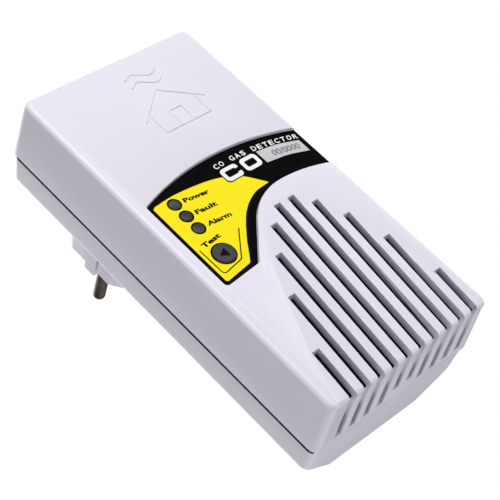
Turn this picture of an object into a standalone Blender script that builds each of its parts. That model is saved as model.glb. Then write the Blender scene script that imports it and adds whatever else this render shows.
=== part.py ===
"""Plug-in carbon monoxide detector, modelled as separate parts.

Frame: metres, +Z up, front face towards -Y, plug pins towards +Y.  The origin is the
middle of the plug's flat face, between the two pins.
Places inside the model are written in millimetres from the middle of the seam between
the two shells, on the housing's centre line; an empty called housing_datum carries them
to the origin of the part.
"""

from math import acos, cos, degrees, pi, radians, sin

import bmesh
import bpy
from mathutils import Vector

MM = 0.001
GAP = 0.3                      # clearance between neighbouring pieces

# Housing
HOUSING_WIDTH = 75.0
HOUSING_HEIGHT = 149.6
COVER_DEPTH = 23.5             # seam to front face
SKIRT_DEPTH = 12.3             # seam to the end of the rear side walls
BACK_DEPTH = 21.8              # seam to the flat back
BACK_HALF_WIDTH = 22.0         # half width of the flat back
DRAFT = 0.8                    # each side, over the depth of a shell
CORNER_RADIUS = 3.0
FRONT_EDGE_RADIUS = 1.6
FRONT_EDGE_STEPS = 3
SIDE_WALL = 2.4
FRONT_WALL = 2.8
BACK_WALL = 2.4
SEAM_HALF_GAP = 0.15
SHADOW_GAP = 0.6               # extra opening of the seam along the two long sides
COVER_OVERHANG = 0.45          # the cover stands proud of the rear housing
LIP_HEIGHT = 3.2               # tongue of the rear housing inside the cover
LIP_START = 1.6                # inset of the tongue's outer face
LIP_END = 2.7                  # inset of the tongue's inner face
REBATE_INSET = 1.25            # inset of the cover's inner face around the tongue
REBATE_HEIGHT = 3.6

# Plug
PLUG_FACE_Y = 50.5             # seam to the flat face of the plug
PLUG_CENTRE_Z = 46.3           # above the middle of the housing
PEDESTAL_RADIUS = 22.8
PEDESTAL_Y = 28.5
SHOULDER_Y = 46.0              # end of the boss, below the raised plug face
BOSS_RADIUS = 20.8             # at the shoulder
BOSS_FLAT = 18.2
BOSS_DRAFT = 1.0               # extra radius at the pedestal
FACE_RADIUS = 15.4
FACE_FLAT = 14.2
GUIDE_RIB_WIDTH = 5.6
GUIDE_RIB_Y = 48.7
GUIDE_GROOVE = 1.3             # width and depth of the grooves beside a guide rib
EARTH_NOTCH_WIDTH = 6.0
EARTH_NOTCH_RADIUS = 16.6
BOSS_HOLLOW_RADIUS = 13.6
BOSS_FLOOR = 3.0
PIN_SPACING = 19.0
PIN_RADIUS = 2.4
PIN_LENGTH = 19.0
PIN_FLANGE_RADIUS = 3.5
RETAINER_SCREW_OFFSET = 5.6

# Label, lights and button
LABEL_LEFT = -31.6
LABEL_TOP_ARC = (2.3, -77.6, 100.0)      # centre x, centre z, radius
LABEL_LOW_ARC = (14.9, -57.9, 60.0)
LABEL_BEND_RADIUS = 25.0
LABEL_BEND_ANGLE = 48.0
LABEL_LOW_CORNER_Z = -20.1
LABEL_LEFT_CORNER_Z = -21.6
RECESS_DEPTH = 1.7
RECESS_MARGIN = 0.25
LABEL_THICKNESS = 0.3
LABEL_LIFT = 0.25
LIGHT_X = -22.4
LIGHT_ZS = {"power": 13.1, "fault": 7.25, "alarm": 1.4}
LIGHT_RADIUS = 2.1
BUTTON_X = -22.6
BUTTON_Z = -10.9
BUTTON_RADIUS = 3.7
BUTTON_TRAVEL = 0.8

# Vent slots
SLOT_COUNT = 10
SLOT_PITCH = 6.43
SLOT_WIDTH = 3.0
SLOT_LEAN = 0.124              # sideways run of a slot for each millimetre of height
SLOT_CENTRE_X = 0.6            # middle of the row of slots at the lower edge
SLOT_TOPS = (-5.6, -11.4, -21.4, -35.7, -55.3)     # from the middle pair outwards
SLOT_ENDS_Y = (-7.0, -3.2, -3.2, -3.2, -3.2)

# Circuit board
BOARD_BACK_Y = -7.8
BOARD_THICKNESS = 1.6
BOARD_FRONT_Y = BOARD_BACK_Y - BOARD_THICKNESS
BOARD_HALF_WIDTH = 29.5
BOARD_TOP = 27.0
BOARD_BOTTOM = -57.0
BOARD_SCREWS = ((-25.5, 22.0), (25.5, 22.0), (-25.5, -52.0), (25.5, -52.0))
HOUSING_SCREWS = ((-15.0, 17.0), (15.0, 17.0), (-15.0, -65.0), (15.0, -65.0))
TOWER_RADIUS = 4.9
WELL_RADIUS = 3.5
TOWER_FLOOR = (3.0, 5.0)


def clear_scene():
    """Remove every object of the open scene."""
    for obj in list(bpy.data.objects):
        bpy.data.objects.remove(obj, do_unlink=True)


def material(name, colour, roughness, metallic=0.0):
    """Return a Principled material, made the first time it is asked for."""
    found = bpy.data.materials.get(name)
    if found:
        return found
    made = bpy.data.materials.new(name)
    made.use_nodes = True
    shader = made.node_tree.nodes["Principled BSDF"]
    shader.inputs["Base Color"].default_value = (*colour, 1.0)
    shader.inputs["Roughness"].default_value = roughness
    shader.inputs["Metallic"].default_value = metallic
    made.diffuse_color = (*colour, 1.0)
    return made


WHITE_PLASTIC = ("white_plastic", (0.80, 0.79, 0.86), 0.45)
BLACK_PLASTIC = ("black_plastic", (0.02, 0.02, 0.022), 0.5)
GREY_PLASTIC = ("grey_plastic", (0.09, 0.09, 0.10), 0.45)
LABEL_FILM = ("label_film", (0.93, 0.80, 0.03), 0.35)
SILVER_FILM = ("silver_film", (0.75, 0.75, 0.77), 0.35)
LIGHT_WINDOW = ("light_window", (0.06, 0.06, 0.065), 0.25)
STEEL = ("steel", (0.60, 0.60, 0.62), 0.35, 1.0)
NICKEL = ("nickel", (0.56, 0.52, 0.48), 0.25, 1.0)
BOARD_GREEN = ("board_laminate", (0.02, 0.17, 0.07), 0.4)
CHIP_BLACK = ("chip_black", (0.015, 0.015, 0.016), 0.55)
SLEEVE_BLUE = ("capacitor_sleeve", (0.02, 0.05, 0.16), 0.4)
MESH_BLACK = ("mesh_black", (0.012, 0.012, 0.014), 0.8)
BROWN_WIRE = ("brown_insulation", (0.14, 0.055, 0.025), 0.5)
BLUE_WIRE = ("blue_insulation", (0.02, 0.09, 0.42), 0.5)
CLEAR_LENS = ("clear_lens", (0.85, 0.86, 0.84), 0.15)
FUSE_BROWN = ("fuse_case", (0.16, 0.10, 0.05), 0.4)
VARISTOR_BLUE = ("varistor_coating", (0.03, 0.16, 0.40), 0.45)
INSERT_GREY = ("insert_plastic", (0.35, 0.35, 0.36), 0.5)


def add_object(name, mesh, finish, location=(0.0, 0.0, 0.0)):
    """Link a mesh as a named object under the housing datum, placed in millimetres."""
    obj = bpy.data.objects.new(name, mesh)
    bpy.context.scene.collection.objects.link(obj)
    obj.parent = bpy.data.objects["housing_datum"]
    obj.location = Vector(location) * MM
    if finish:
        obj.data.materials.append(material(*finish))
    return obj


def mesh_from(name, build, smooth_angle=30.0):
    """Run build on an empty bmesh and return the finished mesh, facing out."""
    mesh = bpy.data.meshes.new(name)
    shape = bmesh.new()
    build(shape)
    bmesh.ops.scale(shape, vec=(MM, MM, MM), verts=shape.verts)
    bmesh.ops.recalc_face_normals(shape, faces=shape.faces)
    shape.to_mesh(mesh)
    shape.free()
    mesh.shade_smooth()
    mesh.set_sharp_from_angle(angle=radians(smooth_angle))
    return mesh


def add_tube(shape, rings):
    """Join rings of points, each as long as the last, and close both ends."""
    loops = [[shape.verts.new(point) for point in ring] for ring in rings]
    for lower, upper in zip(loops, loops[1:]):
        count = len(lower)
        for k in range(count):
            shape.faces.new((lower[k], lower[(k + 1) % count], upper[(k + 1) % count], upper[k]))
    shape.faces.new(loops[0])
    shape.faces.new(loops[-1])


def rounded_ring(half_x, half_z, radius, y, steps=3):
    """Points of a rounded rectangle at depth y, counter-clockwise in x and z."""
    points = []
    for sign_x, sign_z, start in ((1, 1, 0), (-1, 1, 90), (-1, -1, 180), (1, -1, 270)):
        for k in range(steps + 1):
            angle = radians(start + 90.0 * k / steps)
            x = sign_x * (half_x - radius) + radius * cos(angle)
            z = sign_z * (half_z - radius) + radius * sin(angle)
            points.append(Vector((x, y, z)))
    return points


def solid_from_rings(name, rings, finish, location=(0.0, 0.0, 0.0)):
    """Make a solid of rings with flat ends."""
    return add_object(name, mesh_from(name, lambda shape: add_tube(shape, rings)), finish, location)


def block(name, size, location, finish, edge=0.0):
    """Make a box with bevelled edges around its location."""
    def build(shape):
        bmesh.ops.create_cube(shape, size=1.0)
        bmesh.ops.scale(shape, vec=size, verts=shape.verts)
        if edge:
            bmesh.ops.bevel(shape, geom=shape.edges[:], offset=edge, segments=2, affect="EDGES",
                            profile=0.5)
    return add_object(name, mesh_from(name, build), finish, location)


def turned(name, profile, location, finish, steps=16):
    """Make a solid of revolution about Y from (radius, y) pairs, front to back."""
    def build(shape):
        rings = []
        for radius, y in profile:
            count = steps if radius > 0.0 else 1
            rings.append([shape.verts.new((radius * cos(2 * pi * k / steps), y,
                                           radius * sin(2 * pi * k / steps)))
                          for k in range(count)])
        for lower, upper in zip(rings, rings[1:]):
            for k in range(steps):
                after = (k + 1) % steps
                if len(lower) == 1:
                    shape.faces.new((lower[0], upper[after], upper[k]))
                elif len(upper) == 1:
                    shape.faces.new((lower[k], lower[after], upper[0]))
                else:
                    shape.faces.new((lower[k], lower[after], upper[after], upper[k]))
        for ring in (rings[0], rings[-1]):
            if len(ring) > 1:
                shape.faces.new(ring)
    return add_object(name, mesh_from(name, build), finish, location)


def disc(name, radius, y_front, y_back, location, finish, steps=16, edge=0.0):
    """Make a round solid along Y with an optional chamfer at both ends."""
    profile = [(radius, y_front), (radius, y_back)]
    if edge:
        profile = [(radius - edge, y_front), (radius, y_front + edge),
                   (radius, y_back - edge), (radius - edge, y_back)]
    return turned(name, profile, location, finish, steps)


def prism(name, outline, y_front, y_back, finish, location=(0.0, 0.0, 0.0)):
    """Make a flat plate of an (x, z) outline between two depths."""
    rings = [[Vector((x, y, z)) for x, z in outline] for y in (y_front, y_back)]
    return solid_from_rings(name, rings, finish, location)


def circle_outline(radius, centre=(0.0, 0.0), steps=32):
    """Points of a circle in x and z."""
    return [(centre[0] + radius * cos(2 * pi * k / steps), centre[1] + radius * sin(2 * pi * k / steps))
            for k in range(steps)]


def arc_outline(centre_x, centre_z, radius, start, end, steps):
    """Points of an arc in x and z between two angles in degrees."""
    return [(centre_x + radius * cos(radians(start + (end - start) * k / steps)),
             centre_z + radius * sin(radians(start + (end - start) * k / steps)))
            for k in range(steps + 1)]


def combine(target, tool, operation):
    """Add a Boolean to target and make its tool a hidden guide."""
    modifier = target.modifiers.new(operation.lower() + "_" + tool.name, "BOOLEAN")
    modifier.operation = operation
    modifier.solver = "EXACT"
    modifier.object = tool
    tool.hide_render = True
    tool.display_type = "WIRE"


def cut(target, *tools):
    """Take each tool out of the target."""
    for tool in tools:
        combine(target, tool, "DIFFERENCE")


def weld(target, *tools):
    """Join each tool to the target."""
    for tool in tools:
        combine(target, tool, "UNION")


def merged_guide(name, pieces):
    """Turn several separate guides into one object, so that one Boolean uses them all."""
    def build(shape):
        for piece in pieces:
            before = len(shape.verts)
            shape.from_mesh(piece.data)
            shape.verts.ensure_lookup_table()
            bmesh.ops.translate(shape, vec=piece.location, verts=shape.verts[before:])
        bmesh.ops.scale(shape, vec=(1 / MM, 1 / MM, 1 / MM), verts=shape.verts)
    guide = add_object(name, mesh_from(name, build), None)
    for piece in pieces:
        bpy.data.objects.remove(piece, do_unlink=True)
    return guide


# ---------------------------------------------------------------- housing shells

def cover_inset(y):
    """Inset of the cover's side at depth y (0 at the seam, negative to the front)."""
    return DRAFT * -y / COVER_DEPTH


def cover_ring(y, inset):
    """Ring of the cover at depth y, inset from the seam outline."""
    return rounded_ring(HOUSING_WIDTH / 2 - inset, HOUSING_HEIGHT / 2 - inset,
                        max(CORNER_RADIUS - inset * 0.8, 0.8), y)


def rounded_corner(before, corner, after, radius, steps=4):
    """Points of an arc of the given radius that replaces a sharp corner of an outline."""
    to_before = (Vector(before) - Vector(corner)).normalized()
    to_after = (Vector(after) - Vector(corner)).normalized()
    half = to_before.angle(to_after) / 2
    centre = Vector(corner) + (to_before + to_after).normalized() * radius / sin(half)
    first = (Vector(corner) + to_before * radius * cos(half) / sin(half)) - centre
    last = (Vector(corner) + to_after * radius * cos(half) / sin(half)) - centre
    return [tuple(centre + first.lerp(last, k / steps).normalized() * radius) for k in range(steps + 1)]


def label_outline(right, margin):
    """Outline of the label in x and z, grown outwards by margin, as far as x = right."""
    low_x, low_z, low_radius = LABEL_LOW_ARC
    top_x, top_z, top_radius = LABEL_TOP_ARC
    left = LABEL_LEFT - margin
    top_radius += margin
    low_radius -= margin
    low_start = degrees(acos((right - low_x) / low_radius))
    low = arc_outline(low_x, low_z, low_radius, low_start, 90.0, 7)
    bend_z = low_z + low_radius + margin - LABEL_BEND_RADIUS
    bend = arc_outline(low_x, bend_z, LABEL_BEND_RADIUS - margin, 90.0, 90.0 + LABEL_BEND_ANGLE, 8)
    run = (bend[-1][1] - LABEL_LOW_CORNER_Z + margin) / cos(radians(LABEL_BEND_ANGLE - 90.0))
    slope = radians(LABEL_BEND_ANGLE)
    low_corner = (bend[-1][0] - run * cos(slope), bend[-1][1] - run * sin(slope))
    left_corner = (left, LABEL_LEFT_CORNER_Z - margin)
    top_start = degrees(acos((right - top_x) / top_radius))
    top_end = degrees(acos((left - top_x) / top_radius))
    top = arc_outline(top_x, top_z, top_radius, top_start, top_end, 14)
    outline = low + bend[1:]
    outline += rounded_corner(bend[-1], low_corner, left_corner, 1.6)
    outline += rounded_corner(low_corner, left_corner, top[-1], 1.4)
    outline += rounded_corner(left_corner, top[-1], top[-2], 1.4)
    outline += top[-2::-1]
    return outline


def slot_column(index):
    """Middle of a slot at the lower edge of the cover, and its place from the middle pair."""
    x = SLOT_CENTRE_X + (index - (SLOT_COUNT - 1) / 2) * SLOT_PITCH
    rank = int(abs(index - (SLOT_COUNT - 1) / 2))
    return x, rank


def make_slot_guides():
    """Guides for the slots of the front face and for their runs over the lower end."""
    front, end = [], []
    lower = -HOUSING_HEIGHT / 2
    half = SLOT_WIDTH / 2
    for index in range(SLOT_COUNT):
        x, rank = slot_column(index)
        top = SLOT_TOPS[rank]
        shift = SLOT_LEAN * (top - lower)
        outline = [(x - half, lower - 2), (x + half, lower - 2),
                   (x + half + shift, top), (x - half + shift, top)]
        front.append(prism(f"slot_{index}", outline, -COVER_DEPTH - 2,
                           -COVER_DEPTH + FRONT_WALL + 1, None))
        size = (SLOT_WIDTH, COVER_DEPTH + 2 + SLOT_ENDS_Y[rank], 8.0)
        end.append(block(f"end_slot_{index}", size,
                         (x, (SLOT_ENDS_Y[rank] - COVER_DEPTH - 2) / 2, lower), None))
    return merged_guide("front_slots", front), merged_guide("end_slots", end)


def make_front_cover():
    """White front shell with its slots, label recess, light holes and screw bosses."""
    rings = []
    inner = [(-COVER_DEPTH + FRONT_WALL, SIDE_WALL + 0.8), (-COVER_DEPTH + FRONT_WALL + 0.8, SIDE_WALL),
             (-REBATE_HEIGHT, SIDE_WALL), (-REBATE_HEIGHT, REBATE_INSET), (-SEAM_HALF_GAP, REBATE_INSET)]
    rings += [cover_ring(y, cover_inset(y) + extra) for y, extra in inner]
    rings.append(cover_ring(-SEAM_HALF_GAP, 0.0))
    edge_start = -COVER_DEPTH + FRONT_EDGE_RADIUS
    for k in range(FRONT_EDGE_STEPS + 1):
        angle = radians(90.0 * k / FRONT_EDGE_STEPS)
        y = edge_start - FRONT_EDGE_RADIUS * sin(angle)
        rings.append(cover_ring(y, cover_inset(y) + FRONT_EDGE_RADIUS * (1 - cos(angle))))
    cover = solid_from_rings("front_cover", rings, WHITE_PLASTIC)

    inside = -COVER_DEPTH + FRONT_WALL
    bosses = [disc(f"cover_boss_{k}", 3.4, inside - 0.6, TOWER_FLOOR[0] - GAP, (x, 0, z), None)
              for k, (x, z) in enumerate(HOUSING_SCREWS)]
    weld(cover, merged_guide("cover_bosses", bosses))
    recess = prism("label_recess", label_outline(HOUSING_WIDTH / 2 + 2, RECESS_MARGIN),
                   -COVER_DEPTH - 2, -COVER_DEPTH + RECESS_DEPTH, None)
    holes = [disc(f"light_hole_{name}", LIGHT_RADIUS + GAP, -COVER_DEPTH - 2, inside + 1,
                  (LIGHT_X, 0, z), None) for name, z in LIGHT_ZS.items()]
    holes.append(disc("button_hole", BUTTON_RADIUS + GAP, -COVER_DEPTH - 2, inside + 1,
                      (BUTTON_X, 0, BUTTON_Z), None, steps=24))
    screw_holes = [disc(f"cover_screw_hole_{k}", 1.5, inside + 4, TOWER_FLOOR[0] + 1, (x, 0, z), None,
                        steps=10) for k, (x, z) in enumerate(HOUSING_SCREWS)]
    cut(cover, recess, merged_guide("cover_holes", holes), *make_slot_guides(),
        merged_guide("cover_screw_holes", screw_holes))
    return cover


def back_half_width(y):
    """Half width of the rear housing at depth y behind the seam."""
    side = HOUSING_WIDTH / 2 - COVER_OVERHANG - DRAFT * y / SKIRT_DEPTH
    skirt = HOUSING_WIDTH / 2 - COVER_OVERHANG - DRAFT
    slope = (skirt - BACK_HALF_WIDTH) / (BACK_DEPTH - SKIRT_DEPTH)
    return min(side, skirt - slope * (y - SKIRT_DEPTH))


def back_half_height(y):
    """Half height of the rear housing at depth y behind the seam."""
    return HOUSING_HEIGHT / 2 - COVER_OVERHANG - DRAFT * y / SKIRT_DEPTH * 0.8


def flat_sided_ring(radius, flat, y):
    """Ring of points of a circle whose two sides are cut flat, at depth y."""
    return [Vector((max(-flat, min(flat, x)), y, z)) for x, z in circle_outline(radius)]


def make_plug_boss():
    """Guides for the pedestal and the plug boss, and for what is cut out of the boss."""
    centre = (0, 0, PLUG_CENTRE_Z)
    pedestal = turned("plug_pedestal", [(PEDESTAL_RADIUS + 0.6, BACK_DEPTH - 2.1),
                                        (PEDESTAL_RADIUS, PEDESTAL_Y - 1), (PEDESTAL_RADIUS - 1, PEDESTAL_Y)],
                      centre, None, steps=32)
    rings = [flat_sided_ring(BOSS_RADIUS + ease, BOSS_FLAT + ease, y)
             for ease, y in ((BOSS_DRAFT, PEDESTAL_Y - 3), (0.0, SHOULDER_Y - 1), (-0.7, SHOULDER_Y))]
    boss = solid_from_rings("plug_boss", rings, None, centre)
    face = solid_from_rings("plug_face", [flat_sided_ring(FACE_RADIUS + ease, FACE_FLAT + ease, y)
                                          for ease, y in ((1.0, SHOULDER_Y - 2), (0.0, PLUG_FACE_Y))],
                            None, centre)
    rib_start = SHOULDER_Y - 2
    ribs = [block(f"guide_rib_{side}", (BOSS_FLAT - 10.0, GUIDE_RIB_Y - rib_start, GUIDE_RIB_WIDTH),
                  (side * (BOSS_FLAT + 10.0) / 2, (GUIDE_RIB_Y + rib_start) / 2, PLUG_CENTRE_Z), None)
            for side in (-1, 1)]
    notches = [block(f"earth_notch_{side}", (EARTH_NOTCH_WIDTH, PLUG_FACE_Y - PEDESTAL_Y + 4, 10.0),
                     (0, (PLUG_FACE_Y + PEDESTAL_Y) / 2 + 3.0,
                      PLUG_CENTRE_Z + side * (EARTH_NOTCH_RADIUS + 5.0)), None)
               for side in (-1, 1)]
    notches += [block(f"guide_groove_{side}_{edge}", (2 * GUIDE_GROOVE + 1, 12.0, GUIDE_GROOVE),
                      (side * (BOSS_FLAT + 0.5), SHOULDER_Y - 2,
                       PLUG_CENTRE_Z + edge * (GUIDE_RIB_WIDTH + GUIDE_GROOVE) / 2), None)
                for side in (-1, 1) for edge in (-1, 1)]
    return (pedestal, boss, face, merged_guide("guide_ribs", ribs)), merged_guide("boss_notches", notches)


def make_rear_housing():
    """White rear shell with its tongue, screw towers, board posts and plug boss."""
    chamfer = (BACK_HALF_WIDTH - 0.8, BACK_DEPTH - BACK_WALL)
    side_y = SKIRT_DEPTH - 1.3
    inner = [(*chamfer, 2.0), (back_half_width(side_y) - SIDE_WALL, side_y, 2.5),
             (HOUSING_WIDTH / 2 - LIP_END, SEAM_HALF_GAP, 2.5),
             (HOUSING_WIDTH / 2 - LIP_END, -LIP_HEIGHT, 2.5)]
    rings = []
    for half_x, y, radius in inner:
        half_z = min(back_half_height(y) - BACK_WALL, HOUSING_HEIGHT / 2 - LIP_END)
        rings.append(rounded_ring(half_x, half_z, radius, y))
    for y, inset in ((-LIP_HEIGHT, LIP_START), (SEAM_HALF_GAP, LIP_START)):
        rings.append(rounded_ring(HOUSING_WIDTH / 2 - inset, HOUSING_HEIGHT / 2 - inset, 3.0, y))
    outer = [(SEAM_HALF_GAP, 0.0), (SKIRT_DEPTH - 1.5, 0.0), (SKIRT_DEPTH - 0.3, 0.1), (SKIRT_DEPTH + 1.0, 0.15),
             (BACK_DEPTH - 1.0, 0.0), (BACK_DEPTH - 0.3, 0.25), (BACK_DEPTH, 0.9)]
    for y, ease in outer:
        radius = 3.6 - 1.8 * max(0.0, y - SKIRT_DEPTH) / (BACK_DEPTH - SKIRT_DEPTH)
        end_ease = ease if y > SKIRT_DEPTH + 2 else 0.0
        rings.append(rounded_ring(back_half_width(y) - ease, back_half_height(y) - end_ease, radius, y))
    housing = solid_from_rings("rear_housing", rings, WHITE_PLASTIC)

    boss_pieces, notches = make_plug_boss()
    towers = [disc(f"screw_tower_{k}", TOWER_RADIUS, TOWER_FLOOR[0], BACK_DEPTH - 0.5, (x, 0, z), None)
              for k, (x, z) in enumerate(HOUSING_SCREWS)]
    posts = [disc(f"board_post_{k}", 3.2, BOARD_BACK_Y + GAP, 15.4, (x, 0, z), None)
             for k, (x, z) in enumerate(BOARD_SCREWS)]
    weld(housing, *boss_pieces, merged_guide("screw_towers", towers), merged_guide("board_posts", posts))

    floor_y = PLUG_FACE_Y - BOSS_FLOOR
    hollow = disc("boss_hollow", BOSS_HOLLOW_RADIUS, BACK_DEPTH - 5, floor_y, (0, 0, PLUG_CENTRE_Z), None,
                  steps=24)
    cut(housing, notches, hollow)
    ribs = [disc(f"retainer_post_{side}", 2.7, floor_y - 1.6, floor_y + 1.0,
                 (0, 0, PLUG_CENTRE_Z + side * RETAINER_SCREW_OFFSET), None) for side in (-1, 1)]
    weld(housing, merged_guide("retainer_posts", ribs))
    holes = [disc(f"pin_hole_{side}", PIN_RADIUS + GAP, floor_y - 1, PLUG_FACE_Y + 1,
                  (side * PIN_SPACING / 2, 0, PLUG_CENTRE_Z), None) for side in (-1, 1)]
    holes += [disc(f"retainer_hole_{side}", 1.3, floor_y - 3, PLUG_FACE_Y - 1.2,
                   (0, 0, PLUG_CENTRE_Z + side * RETAINER_SCREW_OFFSET), None, steps=10)
              for side in (-1, 1)]
    holes += [disc(f"screw_well_{k}", WELL_RADIUS, TOWER_FLOOR[1], BACK_DEPTH + 3, (x, 0, z), None)
              for k, (x, z) in enumerate(HOUSING_SCREWS)]
    holes += [disc(f"post_hole_{k}", 1.4, BOARD_BACK_Y - 1, 4.0, (x, 0, z), None, steps=10)
              for k, (x, z) in enumerate(BOARD_SCREWS)]
    cut(housing, merged_guide("housing_holes", holes))
    shank_holes = [disc(f"shank_hole_{k}", 1.8, TOWER_FLOOR[0] - 1, TOWER_FLOOR[1] + 1, (x, 0, z), None,
                        steps=10) for k, (x, z) in enumerate(HOUSING_SCREWS)]
    shadow = [block(f"shadow_gap_{side}", (3.0, SHADOW_GAP + 0.4, HOUSING_HEIGHT - 6.0),
                    (side * (HOUSING_WIDTH / 2 - LIP_START + 1.5),
                     SEAM_HALF_GAP + SHADOW_GAP / 2 - 0.2, 0), None) for side in (-1, 1)]
    cut(housing, merged_guide("shank_holes", shank_holes), merged_guide("shadow_gaps", shadow))
    return housing


# ---------------------------------------------------------------- plug

def make_plug():
    """Two plug pins, the plate that holds them and its two screws."""
    floor_y = PLUG_FACE_Y - BOSS_FLOOR
    flange_back = floor_y - GAP
    tip = PLUG_FACE_Y + PIN_LENGTH
    profile = [(0.0, 38.5), (1.6, 38.5), (1.6, flange_back - 1.3), (PIN_FLANGE_RADIUS, flange_back - 1.3),
               (PIN_FLANGE_RADIUS, flange_back), (PIN_RADIUS, flange_back), (PIN_RADIUS, tip - 2.0)]
    profile += [(PIN_RADIUS * cos(radians(a)), tip - 2.0 + 2.0 * sin(radians(a))) for a in (22.5, 45.0, 67.5)]
    profile.append((0.0, tip))
    for side, name in ((-1, "plug_pin_left"), (1, "plug_pin_right")):
        turned(name, profile, (side * PIN_SPACING / 2, 0, PLUG_CENTRE_Z), NICKEL)

    plate_front = flange_back - 1.3 - GAP
    outline = [(x, max(-8.8, min(8.8, z))) for x, z in circle_outline(13.1, steps=24)]
    plate = prism("pin_retainer", outline, plate_front - 2.4, plate_front, INSERT_GREY,
                  (0, 0, PLUG_CENTRE_Z))
    holes = [disc(f"tail_hole_{side}", 2.0, 36, 50, (side * PIN_SPACING / 2, 0, PLUG_CENTRE_Z), None)
             for side in (-1, 1)]
    holes += [disc(f"plate_screw_hole_{side}", 1.4, 36, 50,
                   (0, 0, PLUG_CENTRE_Z + side * RETAINER_SCREW_OFFSET), None) for side in (-1, 1)]
    cut(plate, merged_guide("retainer_holes", holes))
    head_back = plate_front - 2.4 - GAP
    for number, side in ((1, -1), (2, 1)):
        screw(f"retainer_screw_{number}", 2.3, 1.6, 1.0, head_back, 6.4,
              (0, 0, PLUG_CENTRE_Z + side * RETAINER_SCREW_OFFSET))


def screw(name, head_radius, head_height, shank_radius, seat_y, shank_length, location, towards=1):
    """Make a cross-head screw whose head sits at seat_y and whose shank points along towards."""
    profile = [(0.0, seat_y - towards * head_height), (head_radius * 0.75, seat_y - towards * head_height),
               (head_radius, seat_y - towards * head_height * 0.55), (head_radius, seat_y),
               (shank_radius, seat_y), (shank_radius, seat_y + towards * (shank_length - shank_radius)),
               (0.0, seat_y + towards * shank_length)]
    made = turned(name, profile, location, STEEL, steps=12)
    arm, half = head_radius * 0.5, 0.28
    plus = [(half, half), (half, arm), (-half, arm), (-half, half), (-arm, half), (-arm, -half),
            (-half, -half), (-half, -arm), (half, -arm), (half, -half), (arm, -half), (arm, half)]
    top = seat_y - towards * head_height
    depths = sorted((top - towards * 0.5, top + towards * head_height * 0.45))
    cut(made, prism("cross_" + name, plus, *depths, None, location))
    return made


# ---------------------------------------------------------------- front controls

def label_surface_y():
    """Depth of the label's visible face."""
    return -COVER_DEPTH + RECESS_DEPTH - LABEL_LIFT - LABEL_THICKNESS


def make_label():
    """Printed film in the cover's recess and the date strip on it."""
    front = label_surface_y()
    right = HOUSING_WIDTH / 2 - cover_inset(front) - GAP
    label = prism("front_label", label_outline(right, 0.0), front, front + LABEL_THICKNESS, LABEL_FILM)
    holes = [disc(f"label_hole_{name}", LIGHT_RADIUS + GAP, front - 1, front + 1, (LIGHT_X, 0, z), None)
             for name, z in LIGHT_ZS.items()]
    holes.append(disc("label_button_hole", BUTTON_RADIUS + GAP, front - 1, front + 1,
                      (BUTTON_X, 0, BUTTON_Z), None, steps=24))
    cut(label, merged_guide("label_holes", holes))
    strip = [(17.4, 16.0), (17.4, 10.3), (34.4, 6.5), (34.4, 12.2)]
    prism("date_strip", strip, front - GAP - 0.2, front - GAP, SILVER_FILM)


def make_lights():
    """Three light windows in the cover and the light emitting diodes behind them."""
    inside = -COVER_DEPTH + FRONT_WALL
    lens_front = label_surface_y() - 0.1
    for name, z in LIGHT_ZS.items():
        turned(f"{name}_light_window",
               [(LIGHT_RADIUS - 0.3, lens_front), (LIGHT_RADIUS, lens_front + 0.3), (LIGHT_RADIUS, inside + GAP),
                (2.7, inside + GAP), (2.7, inside + GAP + 0.9), (1.7, inside + GAP + 0.9), (1.7, -15.7)],
               (LIGHT_X, 0, z), LIGHT_WINDOW)
        foot = BOARD_FRONT_Y - GAP
        turned(f"{name}_diode",
               [(0.0, foot - 5.4), (0.8, foot - 5.2), (1.3, foot - 4.7), (1.5, foot - 4.0), (1.5, foot - 1.0),
                (1.9, foot - 1.0), (1.9, foot)],
               (LIGHT_X, 0, z), CLEAR_LENS, steps=12)


def make_button():
    """Sprung test button, the switch under it and the switch's plunger."""
    inside = -COVER_DEPTH + FRONT_WALL
    face = label_surface_y() - 0.55
    flange = inside + GAP
    foot = BOARD_FRONT_Y - GAP
    plunger_tip = foot - 5.4
    turned("test_button",
           [(0.0, face - 0.25), (BUTTON_RADIUS * 0.55, face - 0.15), (BUTTON_RADIUS - 0.5, face),
            (BUTTON_RADIUS, face + 0.5), (BUTTON_RADIUS, flange), (5.5, flange), (5.5, flange + 0.9),
            (1.8, flange + 0.9), (1.8, plunger_tip - GAP)],
           (BUTTON_X, 0, BUTTON_Z), GREY_PLASTIC, steps=24)
    body = block("test_switch", (6.2, 3.6, 6.2), (BUTTON_X, foot - 1.8, BUTTON_Z), BLACK_PLASTIC, 0.3)
    cut(body, disc("switch_bore", 2.05, foot - 5.0, foot - 1.2, (BUTTON_X, 0, BUTTON_Z), None))
    disc("switch_plunger", 1.75, plunger_tip, foot - 2.4, (BUTTON_X, 0, BUTTON_Z), GREY_PLASTIC, edge=0.2)


# ---------------------------------------------------------------- electronics

def make_board():
    """Circuit board with its screws."""
    size = (2 * BOARD_HALF_WIDTH, BOARD_THICKNESS, BOARD_TOP - BOARD_BOTTOM)
    centre = (0, (BOARD_FRONT_Y + BOARD_BACK_Y) / 2, (BOARD_TOP + BOARD_BOTTOM) / 2)
    board = block("circuit_board", size, centre, BOARD_GREEN)
    holes = [disc(f"board_hole_{k}", 1.6, -12, -5, (x, 0, z), None, steps=10)
             for k, (x, z) in enumerate(BOARD_SCREWS)]
    holes += [disc(f"boss_clearance_{k}", 4.2, -12, -5, (x, 0, z), None)
              for k, (x, z) in enumerate(HOUSING_SCREWS) if z > BOARD_BOTTOM]
    cut(board, merged_guide("board_holes", holes))
    for number, (x, z) in enumerate(BOARD_SCREWS, 1):
        screw(f"board_screw_{number}", 2.6, 1.8, 1.1, BOARD_FRONT_Y - GAP, 9.0, (x, 0, z))


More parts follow.
